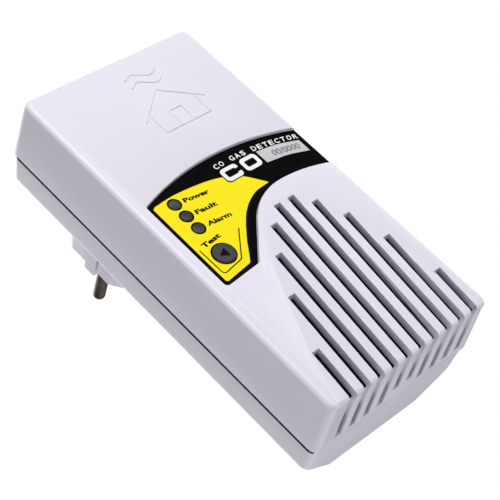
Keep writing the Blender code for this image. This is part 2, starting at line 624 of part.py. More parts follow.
def make_front_components():
    """Gas sensor, sounder and microcontroller on the front of the board."""
    foot = BOARD_FRONT_Y - GAP
    disc("gas_sensor_cell", 10.0, foot - 7.2, foot, (-8.0, 0, -43.0), STEEL, steps=24, edge=0.6)
    cap = disc("sensor_filter_cap", 8.6, foot - 9.7, foot - 7.2 - GAP, (-8.0, 0, -43.0), BLACK_PLASTIC,
               steps=24, edge=0.4)
    bores = [disc(f"filter_bore_{k}", 0.9, foot - 11, foot - 8.6,
                  (-8.0 + 4.4 * cos(k * pi / 3), 0, -43.0 + 4.4 * sin(k * pi / 3)), None, steps=8)
             for k in range(6)]
    cut(cap, merged_guide("filter_bores", bores))
    sounder = disc("piezo_sounder", 11.5, foot - 8.6, foot, (12.5, 0, -22.0), BLACK_PLASTIC, steps=24, edge=0.5)
    cut(sounder, disc("sounder_bore", 1.6, foot - 11, foot - 5.0, (12.5, 0, -22.0), None))
    block("microcontroller", (10.0, 1.4, 10.0), (10.0, foot - 0.7, 4.0), CHIP_BLACK, 0.15)


def make_back_components():
    """Transformer and the other parts of the power supply behind the board."""
    foot = BOARD_BACK_Y + GAP
    block("transformer", (31.0, 20.0, 26.0), (0, foot + 10.0, -3.0), CHIP_BLACK, 0.8)
    for number, (x, z) in enumerate(((21.5, -22.0), (9.5, -27.0)), 1):
        disc(f"smoothing_capacitor_{number}", 5.0, foot, foot + 14.0, (x, 0, z), SLEEVE_BLUE, edge=0.5)
    disc("fuse", 4.2, foot, foot + 7.7, (-22.0, 0, 4.0), FUSE_BROWN, edge=0.4)
    block("surge_varistor", (3.6, 10.5, 10.0), (22.0, foot + 5.25, 4.0), VARISTOR_BLUE, 1.2)
    block("voltage_regulator", (10.0, 9.0, 4.6), (-12.0, foot + 4.5, -28.0), CHIP_BLACK, 0.3)
    for side, name in ((-1, "terminal_left"), (1, "terminal_right")):
        block(name, (5.6, 7.6, 6.4), (side * 6.4, foot + 3.8, 21.0), INSERT_GREY, 0.4)


def lead_path(side):
    """Points of a lead from a pin's tail down to its terminal, in millimetres."""
    ends = [Vector((side * PIN_SPACING / 2, 38.2, PLUG_CENTRE_Z)),
            Vector((side * PIN_SPACING / 2, 30.0, PLUG_CENTRE_Z)),
            Vector((side * 9.2, 17.0, 40.5)), Vector((side * 7.6, 10.5, 28.5)),
            Vector((side * 6.4, 6.0, 21.0)), Vector((side * 6.4, 0.7, 21.0))]
    padded = [2 * ends[0] - ends[1], *ends, 2 * ends[-1] - ends[-2]]
    points = []
    for k in range(len(ends) - 1):
        a, b, c, d = padded[k:k + 4]
        for step in range(3):
            t = step / 3
            points.append(0.5 * (2 * b + (c - a) * t + (2 * a - 5 * b + 4 * c - d) * t * t
                                 + (3 * b - a - 3 * c + d) * t ** 3))
    return points + [ends[-1]]


def make_leads():
    """Brown and blue leads between the plug pins and the board's terminals."""
    for side, name, finish in ((-1, "live_lead", BROWN_WIRE), (1, "neutral_lead", BLUE_WIRE)):
        curve = bpy.data.curves.new(name, "CURVE")
        curve.dimensions = "3D"
        curve.bevel_depth = 1.2 * MM
        curve.bevel_resolution = 2
        curve.use_fill_caps = True
        spline = curve.splines.new("POLY")
        points = lead_path(side)
        spline.points.add(len(points) - 1)
        for slot, point in zip(spline.points, points):
            slot.co = (*(point * MM), 1.0)
        add_object(name, curve, finish)


def make_dust_mesh():
    """Fine black mesh behind the vent slots, bent over the lower end."""
    front = -COVER_DEPTH + FRONT_WALL + GAP
    thickness = 0.4
    outline = [(-30.5, -70.4), (32.4, -70.4), (32.6, -53.0), (30.5, -33.0), (25.5, -18.0), (20.0, -8.0),
               (13.5, -2.5), (3.5, -2.5), (-4.0, -8.5), (-11.5, -18.5), (-20.0, -33.0), (-29.0, -52.5)]
    sheet = prism("dust_mesh", outline, front, front + thickness, MESH_BLACK)
    leg = block("dust_mesh_leg", (60.0, 16.0, thickness), (0.5, front + 8.0, -70.2), None)
    weld(sheet, leg)
    holes = [disc(f"mesh_clearance_{k}", 4.0, front - 1, front + 2, (x, 0, z), None)
             for k, (x, z) in enumerate(HOUSING_SCREWS) if z < BOARD_BOTTOM]
    cut(sheet, merged_guide("mesh_clearances", holes))


def make_outer_fittings():
    """Housing screws and the plain plate on the back."""
    for number, (x, z) in enumerate(HOUSING_SCREWS, 1):
        screw(f"housing_screw_{number}", 2.8, 2.0, 1.2, TOWER_FLOOR[1] + GAP, 16.0, (x, 0, z), towards=-1)
    block("rating_plate", (36.0, 0.3, 44.0), (0, BACK_DEPTH + GAP + 0.15, -25.0), SILVER_FILM)


def main():
    """Build the detector."""
    clear_scene()
    datum = bpy.data.objects.new("housing_datum", None)
    bpy.context.scene.collection.objects.link(datum)
    datum.location = Vector((0.0, -PLUG_FACE_Y, -PLUG_CENTRE_Z)) * MM
    make_front_cover()
    make_rear_housing()
    make_plug()
    make_label()
    make_lights()
    make_button()
    make_board()
    make_front_components()
    make_back_components()
    make_leads()
    make_dust_mesh()
    make_outer_fittings()


main()
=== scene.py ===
"""Plug-in carbon monoxide detector: fine surfaces, finishes, studio and camera.

Places are written in millimetres from the middle of the seam between the two shells: x to
the right seen from the front, y from front to back, z up.  Datum carries them to the frame.
"""

from __future__ import annotations

import logging
from dataclasses import dataclass, field
from enum import Enum
from math import acos, cos, degrees, pi, radians, sin
from typing import Callable, Iterable, Sequence

import bmesh
import bpy
from mathutils import Matrix, Vector


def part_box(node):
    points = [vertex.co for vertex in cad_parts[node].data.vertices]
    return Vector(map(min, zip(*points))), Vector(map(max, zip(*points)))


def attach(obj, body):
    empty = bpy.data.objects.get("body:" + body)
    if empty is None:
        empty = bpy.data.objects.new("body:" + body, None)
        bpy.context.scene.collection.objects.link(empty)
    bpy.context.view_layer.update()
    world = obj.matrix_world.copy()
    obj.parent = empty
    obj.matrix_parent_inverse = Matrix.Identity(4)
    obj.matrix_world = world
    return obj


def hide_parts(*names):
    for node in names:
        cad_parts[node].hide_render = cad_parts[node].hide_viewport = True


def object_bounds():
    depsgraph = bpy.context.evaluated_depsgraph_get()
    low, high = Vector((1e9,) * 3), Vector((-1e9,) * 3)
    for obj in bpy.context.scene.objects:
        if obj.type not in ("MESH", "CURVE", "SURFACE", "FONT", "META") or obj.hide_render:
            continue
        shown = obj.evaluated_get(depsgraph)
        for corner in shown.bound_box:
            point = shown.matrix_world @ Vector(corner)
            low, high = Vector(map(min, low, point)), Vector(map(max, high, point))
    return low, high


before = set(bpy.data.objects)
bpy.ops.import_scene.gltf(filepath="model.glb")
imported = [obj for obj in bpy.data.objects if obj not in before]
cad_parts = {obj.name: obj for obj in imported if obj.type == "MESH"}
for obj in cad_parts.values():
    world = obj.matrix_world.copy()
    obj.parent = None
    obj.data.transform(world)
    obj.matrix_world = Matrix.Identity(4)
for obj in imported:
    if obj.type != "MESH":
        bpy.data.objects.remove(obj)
CAD_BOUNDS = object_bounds()

log = logging.getLogger("detector")

MM = 0.001
TINY = 0.02                    # tolerance when geometry is picked by its place
MOSTLY = 0.7                   # cosine from which a direction counts as along an axis
SQUARE = 0.999                 # cosine from which it counts as exactly along it
CORNER_SIGNS = ((-1, -1), (1, -1), (1, 1), (-1, 1))
SCREW_PLACES = ((-15.0, 17.0), (15.0, 17.0), (-15.0, -65.0), (15.0, -65.0))
LIGHT_PLACES = ((-22.4, 13.1), (-22.4, 7.25), (-22.4, 1.4))
BUTTON_PLACE = (-22.6, -10.9)
PLUG_Z = 46.3                  # height of the plug's axis
PLUG_FACE = 50.5               # depth of the plug's face
PIN_SPACING = 19.0
FINE = 64                      # sides of a middling round piece
FINEST = 128                   # sides of a large one
PAST = 2.0                     # how far a cutting tool reaches past a surface
SMOOTH_ANGLE = 32.0            # edges flatter than this many degrees are shaded smooth
Point = Sequence[float]
Flat = tuple[float, float]
Test = Callable[[Vector, Vector], bool]


class Body(Enum):
    """Moving bodies of the detector."""
    HOUSING = "housing"
    BUTTON = "button"


class Slot(Enum):
    """Material slots of the record."""
    WHITE = "white_plastic"
    LABEL = "label_film"
    SILVER = "silver_film"
    WINDOW = "light_window"
    GREY = "grey_plastic"
    BLACK = "black_plastic"
    MESH = "mesh_black"
    NICKEL = "nickel"
    STEEL = "steel"
    BOARD = "board_laminate"
    COMPONENT = "component"
    SLEEVE = "capacitor_sleeve"
    VARISTOR = "varistor_coating"
    FUSE = "fuse_case"
    INSERT = "insert_plastic"
    LENS = "clear_lens"
    BROWN = "brown_insulation"
    BLUE = "blue_insulation"


class Join(Enum):
    """Ways to combine a piece with a tool."""
    ADD = "UNION"
    CUT = "DIFFERENCE"
    KEEP = "INTERSECT"


# ---------------------------------------------------------------- shader expressions

class Field:
    """A number that varies over a surface; expressions on it add Math nodes."""

    def __init__(self, graph: Graph, socket: bpy.types.NodeSocket) -> None:
        """Wrap a socket.

        Args:
            graph: the graph that the socket belongs to.
            socket: an output of one of its nodes.
        """
        self.graph = graph
        self.socket = socket

    def _maths(self, operation: str, first: object, second: object = 0.0) -> Field:
        """Add a Math node.

        Args:
            operation: what the node does.
            first: its first operand, a field or a number.
            second: its second operand.

        Returns:
            The result as a field.
        """
        made = self.graph.node("ShaderNodeMath", {"operation": operation}, {0: first, 1: second})
        return Field(self.graph, made.outputs[0])

    def __add__(self, other: object) -> Field:
        """Sum."""
        return self._maths("ADD", self, other)

    __radd__ = __add__

    def __mul__(self, other: object) -> Field:
        """Product."""
        return self._maths("MULTIPLY", self, other)

    __rmul__ = __mul__

    def __sub__(self, other: object) -> Field:
        """Difference."""
        return self._maths("SUBTRACT", self, other)

    def __rsub__(self, other: object) -> Field:
        """Difference with the operands swapped."""
        return self._maths("SUBTRACT", other, self)

    def __truediv__(self, other: object) -> Field:
        """Quotient."""
        return self._maths("DIVIDE", self, other)

    def most(self, other: object) -> Field:
        """The larger of two values."""
        return self._maths("MAXIMUM", self, other)

    def away(self) -> Field:
        """Absolute value."""
        return self._maths("ABSOLUTE", self)

    def fraction(self) -> Field:
        """What is left over a whole number."""
        return self._maths("FRACT", self)

    def sine(self) -> Field:
        """Sine of an angle in radians."""
        return self._maths("SINE", self)

    def ramp(self, low: float, high: float) -> Field:
        """Step up smoothly between two values.

        Args:
            low: value up to which the result is 0.
            high: value from which the result is 1.

        Returns:
            The step as a field.
        """
        made = self.graph.node("ShaderNodeMapRange", {"interpolation_type": "SMOOTHSTEP"},
                               {"Value": self, "From Min": low, "From Max": high})
        return Field(self.graph, made.outputs[0])


class Graph:
    """Node graph of one material, written as expressions."""

    def __init__(self, name: str) -> None:
        """Start a material that holds only its shader and its output.

        Args:
            name: name of the material.
        """
        self.material = bpy.data.materials.new(name)
        self.material.use_nodes = True
        self.tree = self.material.node_tree
        self.shader = self.tree.nodes["Principled BSDF"]
        self.place = self.node("ShaderNodeTexCoord").outputs["Object"]

    def node(self, kind: str, settings: dict[str, object] | None = None,
             sockets: dict[str | int, object] | None = None) -> bpy.types.Node:
        """Add a node.

        Args:
            kind: type of the node.
            settings: properties that are set first.
            sockets: values or links of its inputs.

        Returns:
            The new node.
        """
        made = self.tree.nodes.new(kind)
        for key, value in (settings or {}).items():
            setattr(made, key, value)
        for key, value in (sockets or {}).items():
            self.feed(made.inputs[key], value)
        return made

    def feed(self, socket: bpy.types.NodeSocket, value: object) -> None:
        """Link or set an input.

        Args:
            socket: the input.
            value: a field or an output to link, or a value to set.
        """
        source = value.socket if isinstance(value, Field) else value
        if isinstance(source, bpy.types.NodeSocket):
            self.tree.links.new(source, socket)
        else:
            socket.default_value = source

    def noise(self, size: float, detail: float = 3.0, stretch: Point = (1, 1, 1),
              seed: float = 0.0) -> Field:
        """Noise whose lumps are about size millimetres wide.

        Args:
            size: width of a lump.
            detail: number of finer layers.
            stretch: how much longer the lumps are along each axis.
            seed: shift of the pattern.

        Returns:
            The noise as a field around 0.5.
        """
        scale = [1.0 / (size * MM * s) for s in stretch]
        place = self.node("ShaderNodeMapping", {}, {"Vector": self.place, "Scale": scale,
                                                    "Location": (seed, seed * 0.7, -seed)})
        made = self.node("ShaderNodeTexNoise", {}, {"Vector": place.outputs[0], "Scale": 1.0,
                                                    "Detail": detail, "Roughness": 0.55})
        return Field(self, made.outputs[0])

    def cells(self, size: float) -> Field:
        """Distance from the middle of random cells about size millimetres wide."""
        made = self.node("ShaderNodeTexVoronoi", {}, {"Vector": self.place, "Scale": 1.0 / (size * MM)})
        return Field(self, made.outputs["Distance"])

    def along(self, axis: int) -> Field:
        """Position along one axis, in millimetres."""
        split = self.node("ShaderNodeSeparateXYZ", {}, {0: self.place})
        return Field(self, split.outputs[axis]) / MM

    def mix(self, amount: object, low: object, high: object) -> bpy.types.NodeSocket:
        """Blend two colours.

        Args:
            amount: share of the second colour.
            low: the first colour.
            high: the second colour.

        Returns:
            The blended colour's output.
        """
        made = self.node("ShaderNodeMix", {"data_type": "RGBA"}, {0: amount})
        self.feed(made.inputs[6], opaque(low))
        self.feed(made.inputs[7], opaque(high))
        return made.outputs[2]

    def bump(self, height: Field, depth: float) -> None:
        """Give the shader a fine relief.

        Args:
            height: the relief, 0 to 1.
            depth: its depth in millimetres.
        """
        made = self.node("ShaderNodeBump", {}, {"Height": height, "Distance": depth * MM,
                                                "Strength": 1.0})
        self.feed(self.shader.inputs["Normal"], made.outputs[0])

    def finish(self, gloss: float = 0.5, **sockets: object) -> bpy.types.Material:
        """Feed the shader.

        Args:
            gloss: strength of its plain reflection, 0.5 for ordinary plastic.
            sockets: values or links of its inputs, named with underscores.

        Returns:
            The finished material.
        """
        self.shader.inputs["Specular IOR Level"].default_value = gloss
        for key, value in sockets.items():
            self.feed(self.shader.inputs[key.replace("_", " ").title()], value)
        return self.material


def opaque(colour: object) -> object:
    """Give a plain colour an alpha of one and leave a link as it is."""
    return (*colour, 1.0) if isinstance(colour, tuple) else colour


@dataclass(frozen=True)
class MouldedPlastic:
    """Injection-moulded plastic with a spark-eroded grain and faint flow marks."""
    name: str
    colour: tuple[float, float, float]
    roughness: float = 0.45
    grain: float = 0.35
    depth: float = 0.012
    shade: float = 0.94
    coat: float = 0.0
    gloss: float = 0.5

    def make(self) -> bpy.types.Material:
        """Make the material.

        Returns:
            The material.
        """
        graph = Graph(self.name)
        clouds = graph.noise(38.0, 2.0, (1, 1, 2.2))
        grain = graph.noise(self.grain, 4.0)
        pits = graph.cells(self.grain * 1.7).ramp(0.05, 0.45)
        darker = tuple(part * self.shade for part in self.colour)
        graph.bump(grain * 0.7 + pits * 0.3, self.depth)
        return graph.finish(self.gloss, base_color=graph.mix(clouds.ramp(0.3, 0.75), darker, self.colour),
                            roughness=self.roughness + (grain - 0.5) * 0.16 + (clouds - 0.5) * 0.08,
                            coat_weight=self.coat)


@dataclass(frozen=True)
class PrintedFilm:
    """Screen-printed ink on a polyester film with a fine texture under a clear coat."""
    name: str
    colour: tuple[float, float, float]
    roughness: float = 0.38
    coat: float = 0.25
    mottle: float = 0.93
    metallic: float = 0.0
    gloss: float = 0.12

    def make(self) -> bpy.types.Material:
        """Make the material.

        Returns:
            The material.
        """
        graph = Graph(self.name)
        ink = graph.noise(3.2, 3.0)
        weave = graph.noise(0.16, 3.0)
        thin = tuple(part * self.mottle for part in self.colour)
        graph.bump(weave, 0.004)
        colour = graph.mix(ink.ramp(0.25, 0.8), thin, self.colour)
        return graph.finish(self.gloss, coat_roughness=0.22, base_color=colour,
                            roughness=self.roughness + (weave - 0.5) * 0.12 + (ink - 0.5) * 0.06,
                            coat_weight=self.coat, metallic=self.metallic)


@dataclass(frozen=True)
class SmokedLens:
    """Dark translucent-looking window whose tint varies in soft random patches."""
    name: str
    colour: tuple[float, float, float]
    rim: tuple[float, float, float]
    roughness: float = 0.3
    gloss: float = 0.15

    def make(self) -> bpy.types.Material:
        """Make the material.

        Returns:
            The material.
        """
        graph = Graph(self.name)
        speck = graph.noise(0.45, 3.0)
        drift = graph.noise(5.0, 2.0)
        graph.bump(speck, 0.004)
        return graph.finish(self.gloss, base_color=graph.mix(drift.ramp(0.3, 0.7), self.rim, self.colour),
                            roughness=self.roughness + (speck - 0.5) * 0.1)


@dataclass(frozen=True)
class PlatedMetal:
    """Plated metal with fine marks that run along one axis and darker handled patches."""
    name: str
    colour: tuple[float, float, float]
    tarnish: tuple[float, float, float]
    roughness: float = 0.28
    lay: tuple[float, float, float] = (1.0, 12.0, 1.0)

    def make(self) -> bpy.types.Material:
        """Make the material.

        Returns:
            The material.
        """
        graph = Graph(self.name)
        marks = graph.noise(0.22, 4.0, self.lay)
        patches = graph.noise(4.5, 4.0)
        graph.bump(marks, 0.006)
        return graph.finish(base_color=graph.mix(patches.ramp(0.35, 0.7), self.tarnish, self.colour),
                            roughness=self.roughness + (marks - 0.5) * 0.25 + patches * 0.08,
                            metallic=1.0)


@dataclass(frozen=True)
class BoardLaminate:
    """Green solder mask over copper tracks, with tinned pads on a grid."""
    name: str
    pitch: float = 2.54

    def make(self) -> bpy.types.Material:
        """Make the material.

        Returns:
            The material.
        """
        graph = Graph(self.name)
        across, upward = (((graph.along(axis) / self.pitch).fraction() - 0.5).away() for axis in (0, 2))
        runs = graph.noise(9.0, 1.0, (1, 1, 5)).ramp(0.5, 0.52)
        track = (0.5 - across).ramp(0.3, 0.34) * runs
        pad = (1 - across * across * 18).ramp(0.4, 0.5) * (1 - upward * upward * 18).ramp(0.4, 0.5)
        pad = pad * graph.noise(14.0, 1.0, (2, 1, 1), 3.0).ramp(0.55, 0.56)
        glass = graph.noise(0.4, 3.0)
        mask = graph.mix(track, (0.010, 0.085, 0.035), (0.02, 0.17, 0.07))
        graph.bump(track + pad + glass * 0.1, 0.03)
        return graph.finish(base_color=graph.mix(pad, mask, (0.62, 0.62, 0.60)),
                            roughness=0.34 + (glass - 0.5) * 0.15, metallic=pad * 0.9)


@dataclass(frozen=True)
class WovenMesh:
    """Fine dust mesh of crossed threads."""
    name: str
    colour: tuple[float, float, float]
    thread: float = 0.5
    gloss: float = 0.1

    def make(self) -> bpy.types.Material:
        """Make the material.

        Returns:
            The material.
        """
        graph = Graph(self.name)
        turns = 2 * pi / self.thread
        warp, weft = ((graph.along(axis) * turns).sine() for axis in (0, 2))
        threads = (warp.most(weft) * 0.5 + 0.5).ramp(0.1, 0.9)
        lint = graph.noise(2.0, 4.0)
        low = tuple(part * 0.3 for part in self.colour)
        graph.bump(threads, 0.08)
        return graph.finish(self.gloss, base_color=graph.mix(threads, low, self.colour),
                            roughness=0.75 + (lint - 0.5) * 0.3)


# ---------------------------------------------------------------- places and tools

@dataclass(frozen=True)
class Datum:
    """Middle of the seam on the housing's centre line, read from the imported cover."""
    seam: Vector
    half_width: float
    half_height: float
    depth: float
    seam_gap: float = 0.15

    @classmethod
    def of_cover(cls, cover_depth: float = 23.5) -> Datum:
        """Read the datum from the front cover's box.

        Args:
            cover_depth: depth of the cover in front of the seam.

        Returns:
            The datum.
        """
        low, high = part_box("front_cover")
        middle = (low + high) / 2
        return cls(Vector((middle.x, low.y + cover_depth * MM, middle.z)),
                   (high.x - low.x) / 2 / MM, (high.z - low.z) / 2 / MM, cover_depth)

    def point(self, place: Point) -> Vector:
        """Carry a place in millimetres to the frame."""
        return self.seam + Vector(place) * MM

    def local(self, point: Vector) -> Vector:
        """Carry a point of the frame back to millimetres."""
        return (point - self.seam) / MM


@dataclass
class Bench:
    """Modelling steps, each done on one piece at a time."""
    datum: Datum

    def clear(self) -> None:
        """Leave edit mode and select nothing."""
        if bpy.context.object and bpy.context.object.mode != "OBJECT":
            bpy.ops.object.mode_set(mode="OBJECT")
        bpy.ops.object.select_all(action="DESELECT")

    def take(self, piece: bpy.types.Object) -> None:
        """Select one piece and make it active.

        Args:
            piece: the piece.
        """
        self.clear()
        piece.select_set(True)
        bpy.context.view_layer.objects.active = piece

    def settle(self, piece: bpy.types.Object) -> bpy.types.Object:
        """Put the piece's place, turn and size into its mesh.

        Args:
            piece: the piece.

        Returns:
            The piece.
        """
        self.take(piece)
        bpy.ops.object.transform_apply(location=True, rotation=True, scale=True)
        return piece

    def block(self, name: str, low: Point, high: Point) -> bpy.types.Object:
        """Add a box.

        Args:
            name: name of the piece.
            low: its corner with the lowest coordinates.
            high: the opposite corner.

        Returns:
            The new piece.
        """
        self.clear()
        size = [(b - a) * MM for a, b in zip(low, high)]
        middle = [(a + b) / 2 for a, b in zip(low, high)]
        bpy.ops.mesh.primitive_cube_add(size=1.0, location=self.datum.point(middle), scale=size)
        piece = bpy.context.object
        piece.name = name
        return self.settle(piece)

    def rod(self, name: str, radius: float, front: float, back: float, centre: Flat,
            sides: int = 48) -> bpy.types.Object:
        """Add a cylinder along y.

        Args:
            name: name of the piece.
            radius: its radius.
            front: y of its front end.
            back: y of its back end.
            centre: x and z of its axis.
            sides: number of sides.

        Returns:
            The new piece.
        """
        self.clear()
        place = self.datum.point((centre[0], (front + back) / 2, centre[1]))
        bpy.ops.mesh.primitive_cylinder_add(vertices=sides, radius=radius * MM,
                                            depth=(back - front) * MM, location=place,
                                            rotation=(pi / 2, 0, 0))
        piece = bpy.context.object
        piece.name = name
        return self.settle(piece)

    def pick(self, piece: bpy.types.Object, kind: str, test: Test) -> None:
        """Open the piece in edit mode with the elements that pass a test selected.

        Args:
            piece: the piece to open.
            kind: VERT, EDGE or FACE.
            test: called with an element's middle, and its run or its normal.
        """
        self.take(piece)
        bpy.ops.object.mode_set(mode="EDIT")
        bpy.ops.mesh.select_mode(type=kind)
        bpy.ops.mesh.select_all(action="DESELECT")
        shape = bmesh.from_edit_mesh(piece.data)
        if kind == "VERT":
            chosen = [v for v in shape.verts if test(self.datum.local(v.co), v.normal)]
        elif kind == "EDGE":
            chosen = [e for e in shape.edges
                      if test(self.datum.local((e.verts[0].co + e.verts[1].co) / 2),
                              (e.verts[1].co - e.verts[0].co).normalized())]
        else:
            chosen = [f for f in shape.faces
                      if test(self.datum.local(f.calc_center_median()), f.normal)]
        for element in chosen:
            element.select_set(True)
        shape.select_flush_mode()
        bmesh.update_edit_mesh(piece.data)

    def bevel(self, piece: bpy.types.Object, radius: float, segments: int, test: Test) -> None:
        """Round some edges.

        Args:
            piece: the piece.
            radius: radius of the rounding.
            segments: number of steps of the rounding.
            test: which edges to round.
        """
        self.pick(piece, "EDGE", test)
        bpy.ops.mesh.bevel(offset=radius * MM, segments=segments, profile=0.5, affect="EDGES")
        self.clear()

    def resize(self, piece: bpy.types.Object, factors: Point, centre: Point, test: Test) -> None:
        """Scale some vertices.

        Args:
            piece: the piece.
            factors: factors along x, y and z.
            centre: place that stays where it is.
            test: which vertices to move.
        """
        self.pick(piece, "VERT", test)
        bpy.ops.transform.resize(value=factors, center_override=self.datum.point(centre))
        self.clear()

    def shift(self, piece: bpy.types.Object, move: Point, test: Test) -> None:
        """Move some vertices.

        Args:
            piece: the piece.
            move: how far they move.
            test: which vertices to move.
        """
        self.pick(piece, "VERT", test)
        bpy.ops.transform.translate(value=[part * MM for part in move])
        self.clear()

    def slice(self, piece: bpy.types.Object, place: Point, normal: Point) -> None:
        """Cut off what lies beyond a plane and close the cut.

        Args:
            piece: the piece.
            place: a point of the plane.
            normal: direction that points to what is cut off.
        """
        self.pick(piece, "VERT", lambda middle, run: True)
        bpy.ops.mesh.bisect(plane_co=self.datum.point(place), plane_no=normal, use_fill=True,
                            clear_outer=True)
        self.clear()

    def inset_front(self, piece: bpy.types.Object, front: float, steps: Iterable[Flat]) -> None:
        """Step the flat front face inwards.

        Args:
            piece: the piece.
            front: y of its front face.
            steps: pairs of inset and depth, positive depths going in.
        """
        self.pick(piece, "FACE", lambda middle, normal: middle.y < front + TINY and normal.y < -0.9999)
        for width, depth in steps:
            bpy.ops.mesh.inset(thickness=width * MM, depth=-depth * MM)
        self.clear()

    def combine(self, piece: bpy.types.Object, tool: bpy.types.Object, way: Join) -> None:
        """Join, cut or trim a piece.

        Args:
            piece: the piece.
            tool: the closed tool, which is used up.
            way: what the tool does to the piece.
        """
        self.take(piece)
        bpy.ops.object.modifier_add(type="BOOLEAN")
        step = piece.modifiers[-1]
        step.operation = way.value
        step.solver = "MANIFOLD"
        step.object = tool
        bpy.ops.object.modifier_apply(modifier=step.name)
        bpy.data.objects.remove(tool, do_unlink=True)

    def control_holes(self, light: float, button: float, front: float, back: float) -> bpy.types.Object:
        """Make a tool for the holes of the lights and the button.

        Args:
            light: radius of a light's hole.
            button: radius of the button's hole.
            front: y of the tool's front.
            back: y of its back.

        Returns:
            The tool.
        """
        rods = [self.rod("light_hole", light, front, back, spot) for spot in LIGHT_PLACES]
        return self.gather([*rods, self.rod("button_hole", button, front, back, BUTTON_PLACE, FINE)])

    def gather(self, pieces: Sequence[bpy.types.Object]) -> bpy.types.Object:
        """Put several pieces in one object.

        Args:
            pieces: pieces that don't overlap.

        Returns:
            The first piece, which holds them all.
        """
        self.clear()
        for piece in pieces:
            piece.select_set(True)
        bpy.context.view_layer.objects.active = pieces[0]
        if len(pieces) > 1:
            bpy.ops.object.join()
        return pieces[0]

    def copy(self, piece: bpy.types.Object, name: str, move: Point) -> bpy.types.Object:
        """Copy a piece with a mesh of its own.

        Args:
            piece: the piece.
            name: name of the copy.
            move: how far it stands from the piece.

        Returns:
            The copy.
        """
        self.take(piece)
        bpy.ops.object.duplicate(linked=False)
        made = bpy.context.object
        made.name = name
        made.location = Vector(move) * MM
        return self.settle(made)

    def plate(self, name: str, outlines: Sequence[Sequence[Flat]], front: float,
              back: float) -> bpy.types.Object:
        """Make a flat plate from closed outlines in x and z; an inner outline is a hole.

        Args:
            name: name of the piece.
            outlines: the closed outlines.
            front: y of its front.
            back: y of its back.

        Returns:
            The new piece.
        """
        self.clear()
        drawing = bpy.data.curves.new(name, "CURVE")
        drawing.dimensions = "2D"
        drawing.fill_mode = "BOTH"
        drawing.extrude = (back - front) / 2 * MM
        for outline in outlines:
            line = drawing.splines.new("POLY")
            line.points.add(len(outline) - 1)
            for spot, (x, z) in zip(line.points, outline):
                spot.co = (x * MM, z * MM, 0.0, 1.0)
            line.use_cyclic_u = True
        return self._upright(bpy.data.objects.new(name, drawing), (0, (front + back) / 2, 0))

    def ridge(self, name: str, runs: Sequence[Sequence[Flat]], surface: float, width: float,
              height: float) -> bpy.types.Object:
        """Make fine raised lines on a flat surface.

        Args:
            name: name of the piece.
            runs: the lines as points in x and z.
            surface: y of the surface.
            width: width of a line.
            height: how far it stands up.

        Returns:
            The new piece.
        """
        self.clear()
        drawing = bpy.data.curves.new(name, "CURVE")
        drawing.dimensions = "3D"
        drawing.bevel_depth = width / 2 * MM
        drawing.bevel_resolution = 2
        drawing.use_fill_caps = True
        for run in runs:
            line = drawing.splines.new("POLY")
            line.points.add(len(run) - 1)
            for spot, (x, z) in zip(line.points, run):
                spot.co = (x * MM, z * MM, 0.0, 1.0)
        made = bpy.data.objects.new(name, drawing)
        made.scale = (1.0, 1.0, height / (width / 2))
        return self._upright(made, (0, surface, 0))

    def _upright(self, piece: bpy.types.Object, place: Point, lean: float = 0.0) -> bpy.types.Object:
        """Turn a flat drawing to face the front, as a closed mesh.

        Args:
            piece: the drawing.
            place: where its origin goes.
            lean: degrees by which it is turned.

        Returns:
            The piece.
        """
        if piece.name not in bpy.context.scene.collection.objects:
            bpy.context.scene.collection.objects.link(piece)
        self.take(piece)
        bpy.ops.object.convert(target="MESH")
        piece.rotation_euler = (pi / 2, -radians(lean), 0.0)
        piece.location = self.datum.point(place)
        self.settle(piece)
        self.pick(piece, "VERT", lambda middle, run: True)
        bpy.ops.mesh.remove_doubles(threshold=0.001 * MM)
        bpy.ops.mesh.normals_make_consistent(inside=False)
        self.clear()
        return piece

    def letters(self, name: str, words: str, left: Flat, size: Flat, surface: float,
                lean: float = 0.0, weight: float = 0.03, raised: float = 0.03) -> bpy.types.Object:
        """Print words on a flat surface, stretched to a given size.

        Args:
            name: name of the piece.
            words: what it says.
            left: x and z of the lower left corner.
            size: width and height of the words.
            surface: y of the surface.
            lean: degrees by which the line rises to the right.
            weight: thickening of the strokes.
            raised: thickness of the ink.

        Returns:
            The new piece.
        """
        self.clear()
        bpy.ops.object.text_add()
        piece = bpy.context.object
        piece.name = name
        piece.data.body = words
        piece.data.offset = weight
        piece.data.extrude = 0.5
        piece.data.resolution_u = 4
        bpy.ops.object.convert(target="MESH")
        low = Vector(map(min, zip(*(v.co for v in piece.data.vertices))))
        high = Vector(map(max, zip(*(v.co for v in piece.data.vertices))))
        span = high - low
        for vertex in piece.data.vertices:
            vertex.co = vertex.co - Vector((low.x, low.y, 0))
        piece.scale = (size[0] / span.x * MM, size[1] / span.y * MM, 2 * raised / span.z * MM)
        return self._upright(piece, (left[0], surface, left[1]), lean)

    def deliver(self, piece: bpy.types.Object, finish: bpy.types.Material, slot: Slot,
                body: Body = Body.HOUSING, stands_for: Sequence[str] = ()) -> None:
        """Dress a finished piece and hang it on its body.

        Args:
            piece: the finished piece.
            finish: its material.
            slot: the record's slot; not used.
            body: the body that carries it.
            stands_for: nodes that it takes the place of.
        """
        self.take(piece)
        bpy.ops.object.shade_smooth_by_angle(angle=radians(SMOOTH_ANGLE))
        piece.data.materials.clear()
        piece.data.materials.append(finish)
        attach(piece, body.value)
        if stands_for:
            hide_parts(*stands_for)
        log.info("%s: %d faces on %s", piece.name, len(piece.data.polygons), body.value)


def along_y(_middle: Vector, run: Vector) -> bool:
    """Whether an edge runs mostly from front to back."""
    return abs(run.y) > MOSTLY


def at_depth(y: float) -> Test:
    """Test for elements that lie in the plane at depth y."""
    return lambda middle, run: abs(middle.y - y) < TINY and abs(run.y) < SQUARE


